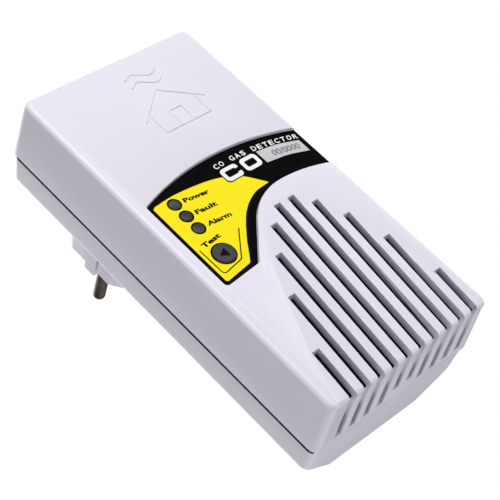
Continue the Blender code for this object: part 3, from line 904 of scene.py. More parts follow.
def arc(centre: Flat, radius: float, start: float, end: float, steps: int) -> list[Flat]:
    """Draw an arc in x and z.

    Args:
        centre: its centre.
        radius: its radius.
        start: angle of its first point in degrees.
        end: angle of its last point.
        steps: number of steps.

    Returns:
        Its points.
    """
    turns = [radians(start + (end - start) * k / steps) for k in range(steps + 1)]
    return [(centre[0] + radius * cos(turn), centre[1] + radius * sin(turn)) for turn in turns]


def ring(centre: Flat, outer: float, inner: float, steps: int) -> list[list[Flat]]:
    """Outlines of a flat ring: its outer and its inner circle."""
    return [arc(centre, radius, 0, 360, steps)[:-1] for radius in (outer, inner)]


def square(centre: Flat, half: float) -> list[Flat]:
    """Corners of a square around a place."""
    return [(centre[0] + x * half, centre[1] + z * half) for x, z in CORNER_SIGNS]


def rounded(corners: Sequence[Flat], radii: Sequence[float], steps: int = 6) -> list[Flat]:
    """Round the corners of a closed outline.

    Args:
        corners: sharp corners in order.
        radii: radius of each corner.
        steps: number of steps of an arc.

    Returns:
        The outline with arcs for corners.
    """
    outline = []
    for k, corner in enumerate(corners):
        here = Vector(corner)
        before = (Vector(corners[k - 1]) - here).normalized()
        after = (Vector(corners[(k + 1) % len(corners)]) - here).normalized()
        half = before.angle(after) / 2
        if radii[k] <= 0:
            outline.append(tuple(here))
            continue
        centre = here + (before + after).normalized() * radii[k] / sin(half)
        first = here + before * radii[k] * cos(half) / sin(half) - centre
        last = here + after * radii[k] * cos(half) / sin(half) - centre
        outline += [tuple(centre + first.lerp(last, step / steps).normalized() * radii[k])
                    for step in range(steps + 1)]
    return outline


def flowing(points: Sequence[Flat], steps: int = 6) -> list[Flat]:
    """Draw a smooth run through a few points.

    Args:
        points: the points in order.
        steps: number of steps between two of them.

    Returns:
        The points of the run.
    """
    spots = [Vector(p) for p in points]
    ends = [spots[0] * 2 - spots[1], *spots, spots[-1] * 2 - spots[-2]]
    run = []
    for a, b, c, d in zip(ends, ends[1:], ends[2:], ends[3:]):
        for k in range(steps):
            t = k / steps
            run.append(tuple(((b * 2) + (c - a) * t + (a * 2 - b * 5 + c * 4 - d) * t ** 2
                              + (b * 3 - a - c * 3 + d) * t ** 3) / 2))
    run.append(tuple(spots[-1]))
    return run


# ---------------------------------------------------------------- front cover

@dataclass
class FrontCover:
    """White front shell with its vent slots, label recess, holes and raised outline."""
    bench: Bench
    draft: float = 0.8
    corner: float = 3.0
    front_edge: float = 1.6
    side_wall: float = 2.4
    front_wall: float = 2.8
    end_wall: float = 1.5
    slot_width: float = 3.0
    slot_lean: float = 0.124
    slot_pitch: float = 6.43
    slot_middle: float = 0.6
    slot_tops: tuple[float, ...] = (-5.6, -11.4, -21.4, -35.7, -55.3)
    slot_ends: tuple[float, ...] = (-7.0, -3.2, -3.2, -3.2, -3.2)
    pad_rise: float = 0.16
    recess: float = 1.7
    recess_gap: float = 0.25
    light_hole: float = 2.35
    button_hole: float = 4.15
    inner_corner: float = 1.6
    edge_break: float = 0.14
    mark_width: float = 0.75
    mark_height: float = 0.42

    def form(self, name: str, grow: float = 0.0) -> bpy.types.Object:
        """Make the drafted, rounded outer form.

        Args:
            name: name of the piece.
            grow: how much it is grown all round.

        Returns:
            The form.
        """
        bench, datum = self.bench, self.bench.datum
        half_x, half_z = datum.half_width + grow, datum.half_height + grow
        front = -datum.depth - grow
        made = bench.block(name, (-half_x, front, -half_z), (half_x, -datum.seam_gap, half_z))
        bench.bevel(made, self.corner, 8, along_y)
        bench.resize(made, (1 - self.draft / half_x, 1, 1 - self.draft / half_z), (0, front, 0),
                     at_depth(front))
        bench.bevel(made, self.front_edge, 6, at_depth(front))
        return made

    def slot_places(self) -> list[tuple[float, float, float]]:
        """Place the slots.

        Returns:
            For each slot its x at the lower edge, its top and where its run over the end stops.
        """
        count = 2 * len(self.slot_tops)
        places = []
        for index in range(count):
            offset = index - (count - 1) / 2
            rank = int(abs(offset))
            places.append((self.slot_middle + offset * self.slot_pitch, self.slot_tops[rank],
                           self.slot_ends[rank]))
        return places

    def slot_tools(self) -> list[bpy.types.Object]:
        """Make tools for the slots.

        Returns:
            One tool for the slots of the front and one for their runs over the lower end.
        """
        bench, datum = self.bench, self.bench.datum
        front, lower, half = -datum.depth, -datum.half_height, self.slot_width / 2
        rise = self.end_wall + 0.5
        faces, ends = [], []
        for x, top, end_y in self.slot_places():
            length = top - lower
            lean = self.slot_lean * length
            end_lean = lean * (rise + PAST) / (length + PAST)
            for tools, far, high, move in ((faces, front + self.front_wall + 1, top, lean),
                                           (ends, end_y, lower + rise, end_lean)):
                tool = bench.block("slot_tool", (x - half, front - PAST, lower - PAST),
                                   (x + half, far, high))
                bench.shift(tool, (move, 0, 0), lambda middle, run: middle.z > lower)
                tools.append(tool)
        return [bench.gather(faces), bench.gather(ends)]

    def grille_pad(self) -> bpy.types.Object:
        """Make the slightly raised arch around the slots.

        Returns:
            The arch, wrapped over the lower front edge.
        """
        bench, datum = self.bench, self.bench.datum
        front, lower = -datum.depth, -datum.half_height
        side = flowing([(-35.4, lower - 1), (-34.0, -70.0), (-27.0, -48.0), (-18.5, -28.0),
                        (-10.0, -13.5), (0.6, -2.0)])
        outline = side + [(1.2 - x, z) for x, z in side[-2::-1]]
        pad = bench.plate("grille_pad", [outline], front - 1, front + self.front_edge)
        bench.resize(pad, (0.955, 1, 0.985), (0.6, 0, lower), at_depth(front - 1))
        bench.combine(pad, self.form("pad_form", self.pad_rise), Join.KEEP)
        return pad

    def outline_mark(self) -> bpy.types.Object:
        """Draw the raised outline of a house with two waves above it.

        Returns:
            The outline on the upper front.
        """
        walls = [(-3.5, 46.5), (-3.5, 38.0), (16.5, 38.0), (16.5, 46.5)]
        roof = [(-7.0, 44.8), (6.5, 55.6), (20.0, 44.8)]
        waves = [flowing([(-0.3 + 3.4 * k, z + swing) for k, swing in enumerate((0, 1.6, 0, -1.6, 0))])
                 for z in (60.0, 64.0)]
        door = [(3.8, 38.2), (3.8, 45.4), (9.2, 45.4), (9.2, 38.2)]
        return self.bench.ridge("cover_outline_mark", [walls, roof, door, *waves],
                                -self.bench.datum.depth + TINY, self.mark_width, self.mark_height)

    def build(self, finish: bpy.types.Material, label: FrontLabel) -> None:
        """Make the cover and its raised outline.

        Args:
            finish: the shells' plastic.
            label: the label that lies in the recess.
        """
        bench, datum = self.bench, self.bench.datum
        front = -datum.depth
        cover = self.form("front_cover_shell")
        bench.combine(cover, self.grille_pad(), Join.ADD)
        inner_x, inner_z = datum.half_width - self.side_wall, datum.half_height - self.end_wall
        hollow = bench.block("cover_hollow", (-inner_x, front + self.front_wall, -inner_z),
                             (inner_x, 1.0, inner_z))
        bench.bevel(hollow, self.inner_corner, 4, along_y)
        bench.resize(hollow, (1 - self.draft / inner_x, 1, 1 - self.draft / inner_z),
                     (0, front, 0), at_depth(front + self.front_wall))
        bench.combine(cover, hollow, Join.CUT)
        recess = label.outline(datum.half_width + PAST, self.recess_gap)
        for tool in (*self.slot_tools(),
                     bench.plate("recess_tool", [recess], front - PAST, front + self.recess),
                     bench.control_holes(self.light_hole, self.button_hole, front - PAST, front + 4)):
            bench.combine(cover, tool, Join.CUT)
        self.break_edges(cover)
        bench.deliver(cover, finish, Slot.WHITE, stands_for=["front_cover"])
        bench.deliver(self.outline_mark(), finish, Slot.WHITE)

    def break_edges(self, cover: bpy.types.Object) -> None:
        """Break the sharp edges of slots and recess, as moulding leaves them.

        Args:
            cover: the cover.
        """
        self.bench.take(cover)
        bpy.ops.object.modifier_add(type="BEVEL")
        step = cover.modifiers[-1]
        step.width = self.edge_break * MM
        step.segments = 2
        step.limit_method = "ANGLE"
        step.angle_limit = radians(50)
        step.use_clamp_overlap = False
        step.harden_normals = False
        bpy.ops.object.modifier_apply(modifier=step.name)


# ---------------------------------------------------------------- rear housing and plug

@dataclass
class RearHousing:
    """White rear shell with sloping sides, screw wells and the round plug boss."""
    bench: Bench
    overhang: float = 0.45
    draft: float = 0.8
    skirt: float = 12.3
    depth: float = 21.8
    half_back: float = 22.0
    wall: float = 2.4
    corner: float = 3.0
    tongue_out: float = 1.6
    tongue_in: float = 2.7
    tongue_height: float = 3.2
    shadow_gap: float = 1.5
    # inset of the black strips that paint the shadow in the seam's gap
    shadow_strip_inset: float = 0.02
    skirt_edge: float = 1.4
    back_edge: float = 1.0
    tower_radius: float = 4.9
    well_radius: float = 3.5
    shoulder: float = 46.0
    pedestal_radius: float = 22.8
    pedestal_end: float = 28.5
    boss_radius: float = 20.8
    boss_flat: float = 18.2
    face_radius: float = 15.4
    face_flat: float = 14.2
    rib_width: float = 5.6
    rib_end: float = 48.7
    groove: float = 1.3
    boss_bore: float = 13.6
    pin_hole: float = 2.65
    notch_half: float = 3.0
    notch_floor: float = 16.6

    def form(self, name: str, inset: float, start: float) -> bpy.types.Object:
        """Make the outer form of the shell.

        Args:
            name: name of the piece.
            inset: how far it is set in all round.
            start: y at which it starts.

        Returns:
            The form.
        """
        bench, datum = self.bench, self.bench.datum
        half_x = datum.half_width - self.overhang - inset
        half_z = datum.half_height - self.overhang - inset
        skirt, back = self.skirt - inset * 0.4, self.depth - inset
        made = bench.block(name, (-half_x, start, -half_z), (half_x, skirt, half_z))
        bench.bevel(made, max(self.corner - inset * 0.5, 1.0), 8, along_y)
        bench.resize(made, (1 - self.draft / half_x, 1, 1 - 0.64 / half_z), (0, skirt, 0),
                     at_depth(skirt))
        bench.pick(made, "FACE", lambda middle, normal: middle.y > skirt - TINY and normal.y > 0.9)
        bpy.ops.mesh.extrude_region_move(TRANSFORM_OT_translate={"value": (0, (back - skirt) * MM, 0)})
        narrow = (self.half_back - inset * 0.4) / (half_x - self.draft)
        bpy.ops.transform.resize(value=(narrow, 1, 0.9965),
                                 center_override=datum.point((0, back, 0)))
        bench.clear()
        bench.bevel(made, self.skirt_edge, 4, at_depth(skirt))
        bench.bevel(made, self.back_edge, 4, at_depth(back))
        return made

    def tongue(self) -> bpy.types.Object:
        """Make the ring that stands inside the cover and closes the seam.

        Returns:
            The ring.
        """
        bench, datum = self.bench, self.bench.datum
        rings = []
        for name, inset, reach in (("tongue", self.tongue_out, 0.0),
                                   ("tongue_hollow", self.tongue_in, 1.0)):
            half_x, half_z = datum.half_width - inset, datum.half_height - inset
            ring = bench.block(name, (-half_x, -self.tongue_height - reach, -half_z),
                               (half_x, 2.0 + reach, half_z))
            bench.bevel(ring, 2.4, 6, along_y)
            rings.append(ring)
        bench.combine(rings[0], rings[1], Join.CUT)
        return rings[0]

    def flat_sided(self, name: str, radius: float, flat: float, front: float, back: float,
                   spread: float, edge: float) -> bpy.types.Object:
        """Round boss with two flat sides, wider at its foot and rounded at its end.

        Args:
            name: name of the piece.
            radius: radius at the end.
            flat: half width over the flats.
            front: y of its foot.
            back: y of its end.
            spread: how much wider the foot is.
            edge: rounding of the end.

        Returns:
            The boss.
        """
        bench = self.bench
        boss = bench.rod(name, radius, front, back, (0, PLUG_Z), FINEST)
        bench.slice(boss, (flat, 0, 0), (1, 0, 0))
        bench.slice(boss, (-flat, 0, 0), (-1, 0, 0))
        grow = 1 + spread / radius
        bench.resize(boss, (grow, 1, grow), (0, front, PLUG_Z), at_depth(front))
        bench.bevel(boss, edge, 5, at_depth(back))
        return boss

    def boss_pieces(self) -> list[bpy.types.Object]:
        """Make the solids of the plug.

        Returns:
            Its pedestal, boss, raised face and two guide ribs.
        """
        bench = self.bench
        pedestal = bench.rod("pedestal", self.pedestal_radius, self.depth - 2.0, self.pedestal_end,
                             (0, PLUG_Z), FINEST)
        bench.bevel(pedestal, 0.8, 4, at_depth(self.pedestal_end))
        pieces = [pedestal,
                  self.flat_sided("boss", self.boss_radius, self.boss_flat, self.pedestal_end - 2,
                                  self.shoulder, 1.0, 1.1),
                  self.flat_sided("raised_face", self.face_radius, self.face_flat, self.shoulder - 2,
                                  PLUG_FACE, 1.0, 0.5)]
        for side in (-1, 1):
            inner, outer = sorted((side * 10.0, side * self.boss_flat))
            rib = bench.block("guide_rib", (inner, self.shoulder - 2, PLUG_Z - self.rib_width / 2),
                              (outer, self.rib_end, PLUG_Z + self.rib_width / 2))
            bench.bevel(rib, 0.5, 3, lambda middle, run, side=side: middle.x * side > self.boss_flat - TINY
                        or middle.y > self.rib_end - TINY)
            pieces.append(rib)
        return pieces

    def boss_cuts(self) -> list[bpy.types.Object]:
        """Make the tools that cut the plug.

        Returns:
            Tools for the earth notches, the grooves beside the ribs and the two pin holes.
        """
        bench, tools = self.bench, []
        for side in (-1, 1):
            low, high = sorted((PLUG_Z + side * self.notch_floor, PLUG_Z + side * 26.0))
            notch = bench.block("earth_notch", (-self.notch_half, self.pedestal_end + 1.5, low),
                                (self.notch_half, PLUG_FACE + PAST, high))
            bench.bevel(notch, 0.7, 3, along_y)
            tools.append(notch)
            x_low, x_high = sorted((side * (self.boss_flat - self.groove), side * (self.boss_flat + 3)))
            z = PLUG_Z - (self.rib_width + self.groove) / 2
            tools.append(bench.block("rib_groove", (x_low, self.shoulder - 8, z - self.groove / 2),
                                     (x_high, PLUG_FACE + 1, z + self.groove / 2)))
            tools.append(bench.rod("pin_hole", self.pin_hole, PLUG_FACE - 4, PLUG_FACE + 1,
                                   (side * PIN_SPACING / 2, PLUG_Z)))
        return tools

    def build(self, finish: bpy.types.Material) -> None:
        """Make the rear housing.

        Args:
            finish: the shells' plastic.
        """
        bench, datum = self.bench, self.bench.datum
        shell = self.form("rear_housing_shell", 0.0, datum.seam_gap)
        bench.combine(shell, self.form("rear_hollow", self.wall, -1.0), Join.CUT)
        bench.combine(shell, self.tongue(), Join.ADD)
        towers = [bench.rod("screw_tower", self.tower_radius, 3.0, self.depth - 0.6, spot)
                  for spot in SCREW_PLACES]
        bench.combine(shell, bench.gather(towers), Join.ADD)
        for piece in self.boss_pieces():
            bench.combine(shell, piece, Join.ADD)
        bore = bench.rod("boss_hollow", self.boss_bore, self.depth - 5, PLUG_FACE - 3, (0, PLUG_Z), FINE)
        cuts = self.boss_cuts()
        wells = [bench.rod("screw_well", self.well_radius, 5.0, self.depth + 3, spot)
                 for spot in SCREW_PLACES]
        for tool in (bore, *cuts, bench.gather(wells), self.seam_bars("shadow_gap", 0.0)):
            bench.combine(shell, tool, Join.CUT)
        bench.deliver(shell, finish, Slot.WHITE, stands_for=["rear_housing"])

    def seam_bars(self, name: str, spare: float) -> bpy.types.Object:
        """Make two bars along the long sides of the seam.

        Args:
            name: name of the piece.
            spare: how much smaller they are all round.

        Returns:
            Both bars as one piece.
        """
        bench, datum = self.bench, self.bench.datum
        reach = datum.half_height - 1.0 - spare
        bars = []
        for side in (-1, 1):
            low, high = sorted((side * (datum.half_width - self.tongue_out + spare),
                                side * (datum.half_width + 1)))
            bars.append(bench.block(name, (low, datum.seam_gap - 0.3 + spare, -reach),
                                    (high, datum.seam_gap + self.shadow_gap - spare, reach)))
        return bench.gather(bars)

    def painted_shadow_strips(self, finish: bpy.types.Material) -> None:
        """Make the dark strips along the long sides of the seam: painted shadow in the shadow gap.

        Args:
            finish: their black plastic, which paints the shade of the gap.
        """
        # black strips in the shadow gap: painted shadow
        strips = self.form("seam_painted_shadow", self.shadow_strip_inset, -1.0)
        self.bench.combine(strips, self.seam_bars("painted_shadow_bars", 0.02), Join.KEEP)
        self.bench.deliver(strips, finish, Slot.BLACK)


@dataclass
class PlugPins:
    """Two round plug pins with rounded tips and a turned collar at the foot."""
    bench: Bench
    radius: float = 2.4
    length: float = 19.0
    tip_rounding: float = 1.7
    root: float = 3.0

    def build(self, finish: bpy.types.Material) -> None:
        """Make the left pin and copy it to the right.

        Args:
            finish: the pins' metal.
        """
        bench = self.bench
        tip = PLUG_FACE + self.length
        pin = bench.rod("plug_pin_fine_left", self.radius, PLUG_FACE - self.root, tip,
                        (-PIN_SPACING / 2, PLUG_Z), FINE)
        bench.bevel(pin, self.tip_rounding, 8, at_depth(tip))
        bench.pick(pin, "FACE", lambda middle, normal: normal.y < -0.9)
        bpy.ops.mesh.inset(thickness=0.3 * MM, depth=0.0)
        bpy.ops.mesh.extrude_region_move(TRANSFORM_OT_translate={"value": (0, -6.0 * MM, 0)})
        bench.clear()
        other = bench.copy(pin, "plug_pin_fine_right", (PIN_SPACING, 0, 0))
        bench.deliver(pin, finish, Slot.NICKEL, stands_for=["plug_pin_left"])
        bench.deliver(other, finish, Slot.NICKEL, stands_for=["plug_pin_right"])


@dataclass
class BackFittings:
    """Rating plate with a plain symbol, and the four housing screws in their wells."""
    bench: Bench
    square_halves: Flat = (4.2, 2.6)
    square_line: float = 0.4
    border_margins: Flat = (1.0, 1.35)
    head_height: float = 1.6
    shank_radius: float = 1.2

    def plate(self, film: bpy.types.Material, ink: bpy.types.Material) -> None:
        """Make the rating plate and the double square printed on it.

        Args:
            film: finish of the plate.
            ink: finish of the print.
        """
        bench = self.bench
        low, high = (bench.datum.local(corner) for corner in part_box("rating_plate"))
        corners = [(low.x, low.z), (high.x, low.z), (high.x, high.z), (low.x, high.z)]
        plate = bench.plate("rating_plate_film", [rounded(corners, [1.5] * 4)], low.y, high.y)
        bench.deliver(plate, film, Slot.SILVER, stands_for=["rating_plate"])
        middle = ((low.x + high.x) / 2, (low.z + high.z) / 2)
        lines = [square(middle, half - step) for half in self.square_halves
                 for step in (0, self.square_line)]
        for margin, radius in zip(self.border_margins, (1.0, 0.8)):
            lines.append(rounded([(x - sx * margin, z - sz * margin)
                                  for (x, z), (sx, sz) in zip(corners, CORNER_SIGNS)], [radius] * 4))
        mark = bench.plate("rating_plate_symbol", lines, high.y - 0.02, high.y + 0.03)
        bench.deliver(mark, ink, Slot.LABEL)

    def screws(self, finish: bpy.types.Material) -> None:
        """Make one pan-head screw with a cross recess and copy it to its four places.

        Args:
            finish: the screws' metal.
        """
        bench = self.bench
        low, high = (bench.datum.local(corner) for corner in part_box("housing_screw_1"))
        x, z = SCREW_PLACES[0]
        head_radius, head_foot = (high.x - low.x) / 2, high.y - self.head_height
        head = bench.rod("housing_screw_fine_1", head_radius, head_foot, high.y, (x, z), 48)
        bench.bevel(head, 0.75, 5, at_depth(high.y))
        shank = bench.rod("shank", self.shank_radius, low.y + 0.4, head_foot + 0.4, (x, z), 24)
        bench.combine(head, shank, Join.ADD)
        arm, half = head_radius * 0.55, 0.3
        for across in (True, False):
            reach = (arm, half) if across else (half, arm)
            tool = bench.block("cross_tool", (x - reach[0], high.y - 0.9, z - reach[1]),
                               (x + reach[0], high.y + 1, z + reach[1]))
            bench.combine(head, tool, Join.CUT)
        screws = [head] + [bench.copy(head, f"housing_screw_fine_{k}", (px - x, 0, pz - z))
                           for k, (px, pz) in enumerate(SCREW_PLACES[1:], 2)]
        for number, made in enumerate(screws, 1):
            bench.deliver(made, finish, Slot.STEEL, stands_for=[f"housing_screw_{number}"])


# ---------------------------------------------------------------- label and controls

@dataclass
class FrontLabel:
    """Black film in the cover's recess with its yellow field, legends and date strip."""
    bench: Bench
    left: float = -31.6
    top_arc: tuple[float, float, float] = (2.3, -77.6, 100.0)
    low_arc: tuple[float, float, float] = (14.9, -57.9, 60.0)
    bend_radius: float = 25.0
    bend_angle: float = 48.0
    low_corner: float = -20.1
    left_corner: float = -21.6
    surface: float = -22.35
    thickness: float = 0.3
    ink: float = 0.03
    right_gap: float = 1.1

    def outline(self, right: float, margin: float) -> list[Flat]:
        """Outline the film.

        Args:
            right: x at which it ends.
            margin: how much it is grown.

        Returns:
            The outline.
        """
        low_x, low_z, low_radius = self.low_arc
        top_x, top_z, top_radius = self.top_arc
        left = self.left - margin
        top_radius, low_radius = top_radius + margin, low_radius - margin
        start = degrees(acos((right - low_x) / low_radius))
        low = arc((low_x, low_z), low_radius, start, 90.0, 24)
        bend_z = low_z + low_radius + margin - self.bend_radius
        bend = arc((low_x, bend_z), self.bend_radius - margin, 90.0, 90.0 + self.bend_angle, 20)
        slope = radians(self.bend_angle)
        run = (bend[-1][1] - self.low_corner + margin) / sin(slope)
        corner = (bend[-1][0] - run * cos(slope), bend[-1][1] - run * sin(slope))
        left_corner = (left, self.left_corner - margin)
        top = arc((top_x, top_z), top_radius, degrees(acos((right - top_x) / top_radius)),
                  degrees(acos((left - top_x) / top_radius)), 40)
        turned = rounded([bend[-1], corner, left_corner, top[-1], top[-2]], [0, 1.6, 1.4, 1.4, 0])
        return low + bend[1:-1] + turned[:-1] + top[-2::-1]

    def yellow_field(self) -> list[Flat]:
        """Outline the yellow field around the lights and the button.

        Returns:
            The outline.
        """
        top = flowing([(-28.4, 15.8), (-19.1, 16.3), (-6.6, 15.1), (1.4, 12.8), (5.9, 10.1), (11.6, 3.6)])
        inner = flowing([(11.6, 3.6), (3.9, 2.6), (-4.1, -1.9), (-11.6, -9.9), (-15.9, -15.6)])
        corner = rounded([(-15.9, -15.6), (-18.0, -18.3), (-29.7, -20.0), (-29.7, 15.2), (-28.4, 15.8)],
                         [0, 1.1, 0.9, 0.7, 0])
        return top[:-1] + inner[:-1] + corner[:-1]

    def rounded_letters(self, grow: float) -> list[list[Flat]]:
        """Outline two squarish letters, C and O.

        Args:
            grow: how much they are grown all round.

        Returns:
            The outlines.
        """
        low, high, stroke = 10.6 - grow, 16.3 + grow, 1.5 + 2 * grow
        left, right, hook = -0.1 - grow, 7.3 + grow, stroke + 0.5
        first = rounded(
            [(left, low), (right, low), (right, low + hook), (right - stroke, low + hook),
             (right - stroke, low + stroke), (left + stroke, low + stroke),
             (left + stroke, high - stroke), (right - stroke, high - stroke),
             (right - stroke, high - hook), (right, high - hook), (right, high), (left, high)],
            [1.6, 1.3, 0.1, 0.1, 0.2, 0.5, 0.5, 0.2, 0.1, 0.1, 1.3, 1.6])
        left, right = 8.9 - grow, 16.2 + grow
        second = [rounded([(left + step, low + step), (right - step, low + step),
                           (right - step, high - step), (left + step, high - step)], [radius] * 4)
                  for step, radius in ((0, 1.6), (stroke, 0.5))]
        return [first, *second]

    def film(self, finish: bpy.types.Material) -> None:
        """Make the film with its holes.

        Args:
            finish: its black film.
        """
        bench, surface = self.bench, self.surface
        outline = self.outline(bench.datum.half_width - self.right_gap, 0.0)
        film = bench.plate("label_film_black", [outline], surface, surface + self.thickness)
        bench.combine(film, bench.control_holes(2.15, 4.1, surface - 1, surface + 1), Join.CUT)
        bench.deliver(film, finish, Slot.LABEL, stands_for=["front_label"])

    def field_print(self, finish: bpy.types.Material) -> None:
        """Print the yellow field, with round gaps for the lights and the button.

        Args:
            finish: its yellow ink.
        """
        bench, front = self.bench, self.surface - self.ink
        printed = bench.plate("label_print_yellow", [self.yellow_field()], front, self.surface + 0.02)
        bench.combine(printed, bench.control_holes(2.2, 4.15, front - 1, front + 1), Join.CUT)
        bench.deliver(printed, finish, Slot.LABEL)

    def black_print(self, finish: bpy.types.Material) -> None:
        """Draw black rings round the light and button holes, and print legends, the bracket line and the
        shadow of the large letters.

        Args:
            finish: its black ink.
        """
        bench = self.bench
        surface = self.surface - self.ink
        # black rings just outside the light and button holes, darkening the edge of each hole
        circles = [(f"light_ring_{k}", ring(spot, 2.55, 2.12, 48)) for k, spot in enumerate(LIGHT_PLACES)]
        circles.append(("button_ring", ring(BUTTON_PLACE, 4.4, 4.05, FINE)))
        pieces = [bench.plate(name, lines, surface - self.ink, surface + 0.01) for name, lines in circles]
        rows = (("Power", (-18.9, 11.85), 10.2, -6.5), ("Fault", (-18.9, 5.95), 8.8, -4.0),
                ("Alarm", (-18.9, 0.15), 9.7, -4.5), ("Test", (-26.6, -6.0), 8.2, 6.0))
        for words, corner, width, lean in rows:
            pieces.append(bench.letters("legend_" + words.lower(), words, corner, (width, 1.9), surface,
                                        lean, 0.040, self.ink))
        line = rounded([(-28.5, -5.7), (-28.2, -17.2), (-19.3, -15.6), (-11.25, -5.7)], [0, 1.1, 1.3, 0])
        pieces.append(bench.ridge("bracket_line", [line], surface, 0.42, self.ink))
        bench.deliver(bench.gather(pieces), finish, Slot.LABEL)
        shadow = bench.plate("label_letter_shadow", self.rounded_letters(0.42), surface - 0.01,
                             self.surface + 0.01)
        bench.deliver(shadow, finish, Slot.LABEL)

    def white_print(self, finish: bpy.types.Material) -> None:
        """Print the large letters and the line of small letters along the upper edge.

        Args:
            finish: their white ink.
        """
        bench = self.bench
        front = self.surface - 2 * self.ink
        large = bench.plate("label_letters_large", self.rounded_letters(0.0), front - 0.02,
                            self.surface + 0.01)
        centre, radius, words = (6.0, -80.0), 97.3, "CO GAS DETECTOR"
        first, last = degrees(acos(-6.0 / radius)), degrees(acos(27.4 / radius))
        pieces = []
        spots = arc(centre, radius, first, last, len(words) - 1)
        for index, (letter, spot) in enumerate(zip(words, spots)):
            turn = first + (last - first) * index / (len(words) - 1)
            if letter != " ":
                pieces.append(bench.letters(f"arc_letter_{index}", letter, spot, (1.8, 2.1), self.surface,
                                            turn - 91.0, 0.02, self.ink))
        bench.deliver(large, finish, Slot.LABEL)
        bench.deliver(bench.gather(pieces), finish, Slot.LABEL)

    def date_strip(self, film: bpy.types.Material, ink: bpy.types.Material) -> None:
        """Make the silver strip and the plain numerals on it.

        Args:
            film: finish of the strip.
            ink: finish of the numerals.
        """
        bench = self.bench
        top = flowing([(17.4, 16.0), (26.0, 14.7), (34.4, 12.0)])
        low = flowing([(34.4, 6.5), (26.0, 9.1), (17.4, 10.3)])
        front = self.surface - 0.12
        strip = bench.plate("date_strip_film", [top + low], front, self.surface + 0.01)
        bench.deliver(strip, film, Slot.SILVER, stands_for=["date_strip"])
        numerals = bench.letters("date_strip_numerals", "00/0000", (21.6, 11.2), (11.2, 2.7), front,
                                 -12.5, 0.03, self.ink)
        bench.deliver(numerals, ink, Slot.SILVER)

    def build(self, inks: dict[str, bpy.types.Material]) -> None:
        """Make the film and everything printed on it.

        Args:
            inks: the label's film and inks by name.
        """
        self.film(inks["black"])
        self.field_print(inks["yellow"])
        self.black_print(inks["black"])
        self.white_print(inks["white"])
        self.date_strip(inks["silver"], inks["grey"])


@dataclass
class Controls:
    """Three light windows and the sprung test button with its plunger."""
    bench: Bench
    surface: float = -22.35
    cover_back: float = -20.4
    names: tuple[str, ...] = ("power", "fault", "alarm")

    def windows(self, finish: bpy.types.Material) -> None:
        """Make one domed window with a rim and a light pipe, and copy it.

        Args:
            finish: the windows' smoked plastic.
        """
        bench, places, back = self.bench, LIGHT_PLACES, self.cover_back
        front = self.surface - 0.1
        window = bench.rod("power_window_fine", 2.0, front, back, places[0], FINE)
        bench.bevel(window, 0.25, 3, at_depth(front))
        bench.inset_front(window, front, ((0.28, 0.0), (0.12, 0.16), (0.5, -0.05), (0.5, -0.04)))
        for name, radius, start, end in (("window_flange", 2.7, back, back + 0.9),
                                         ("light_pipe", 1.7, back + 0.8, back + 4.7)):
            bench.combine(window, bench.rod(name, radius, start, end, places[0]), Join.ADD)
        windows = [window] + [bench.copy(window, f"{name}_window_fine", (0, 0, z - places[0][1]))
                              for name, (_x, z) in zip(self.names[1:], places[1:])]
        for name, made in zip(self.names, windows):
            bench.deliver(made, finish, Slot.WINDOW, stands_for=[f"{name}_light_window"])

    def button(self, finish: bpy.types.Material, ink: bpy.types.Material) -> None:
        """Make the button with a shallow dish, and the arrow head on it.

        Args:
            finish: the button's plastic.
            ink: finish of the arrow head.
        """
        bench, centre = self.bench, BUTTON_PLACE
        front, flange = self.surface - 0.55, self.cover_back
        cap = bench.rod("test_button_fine", 3.85, front, flange + 0.02, centre, 96)
        bench.bevel(cap, 0.5, 5, at_depth(front))
        bench.inset_front(cap, front, ((0.3, 0.0), (0.2, 0.14), (0.6, 0.03)))
        bench.combine(cap, bench.rod("button_flange", 5.4, flange, flange + 0.9, centre, FINE), Join.ADD)
        low, high = (bench.datum.local(corner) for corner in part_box("test_button"))
        bench.combine(cap, bench.rod("button_stem", 1.8, flange + 0.8, high.y, centre), Join.ADD)
        bench.deliver(cap, finish, Slot.GREY, Body.BUTTON, ["test_button"])
        x, z = centre
        arrow = rounded([(x - 2.0, z - 0.1), (x + 1.2, z - 2.0), (x + 1.2, z + 1.8)], [0.2] * 3)
        dish = front + 0.17
        mark = bench.plate("test_button_arrow", [arrow], dish - 0.05, dish + 0.1)
        bench.deliver(mark, ink, Slot.BLACK, Body.BUTTON)


# ---------------------------------------------------------------- pieces kept from the frame

@dataclass
class Internals:
    """Finishes of the nodes that keep their shape."""
    bench: Bench
    groups: dict[Slot, tuple[str, ...]] = field(default_factory=lambda: {
        Slot.BOARD: ("circuit_board",),
        Slot.STEEL: ("gas_sensor_cell", "board_screw_1", "board_screw_2", "board_screw_3",
                     "board_screw_4", "retainer_screw_1", "retainer_screw_2"),
        Slot.BLACK: ("sensor_filter_cap", "piezo_sounder", "test_switch"),
        Slot.GREY: ("switch_plunger",),
        Slot.COMPONENT: ("microcontroller", "transformer", "voltage_regulator"),
        Slot.SLEEVE: ("smoothing_capacitor_1", "smoothing_capacitor_2"),
        Slot.VARISTOR: ("surge_varistor",),
        Slot.FUSE: ("fuse",),
        Slot.INSERT: ("terminal_left", "terminal_right", "pin_retainer"),
        Slot.LENS: ("power_diode", "fault_diode", "alarm_diode"),
        Slot.BROWN: ("live_lead",),
        Slot.BLUE: ("neutral_lead",),
        Slot.MESH: ("dust_mesh",),
    })

    def dress(self, finishes: dict[Slot, bpy.types.Material]) -> None:
        """Give each kept node its finish.

        Args:
            finishes: the finish of each slot.
        """
        for slot, names in self.groups.items():
            for name in names:
                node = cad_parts[name]
                node.data.materials.clear()
                node.data.materials.append(finishes[slot])
                log.info("%s: %s", name, slot.value)


# ---------------------------------------------------------------- studio

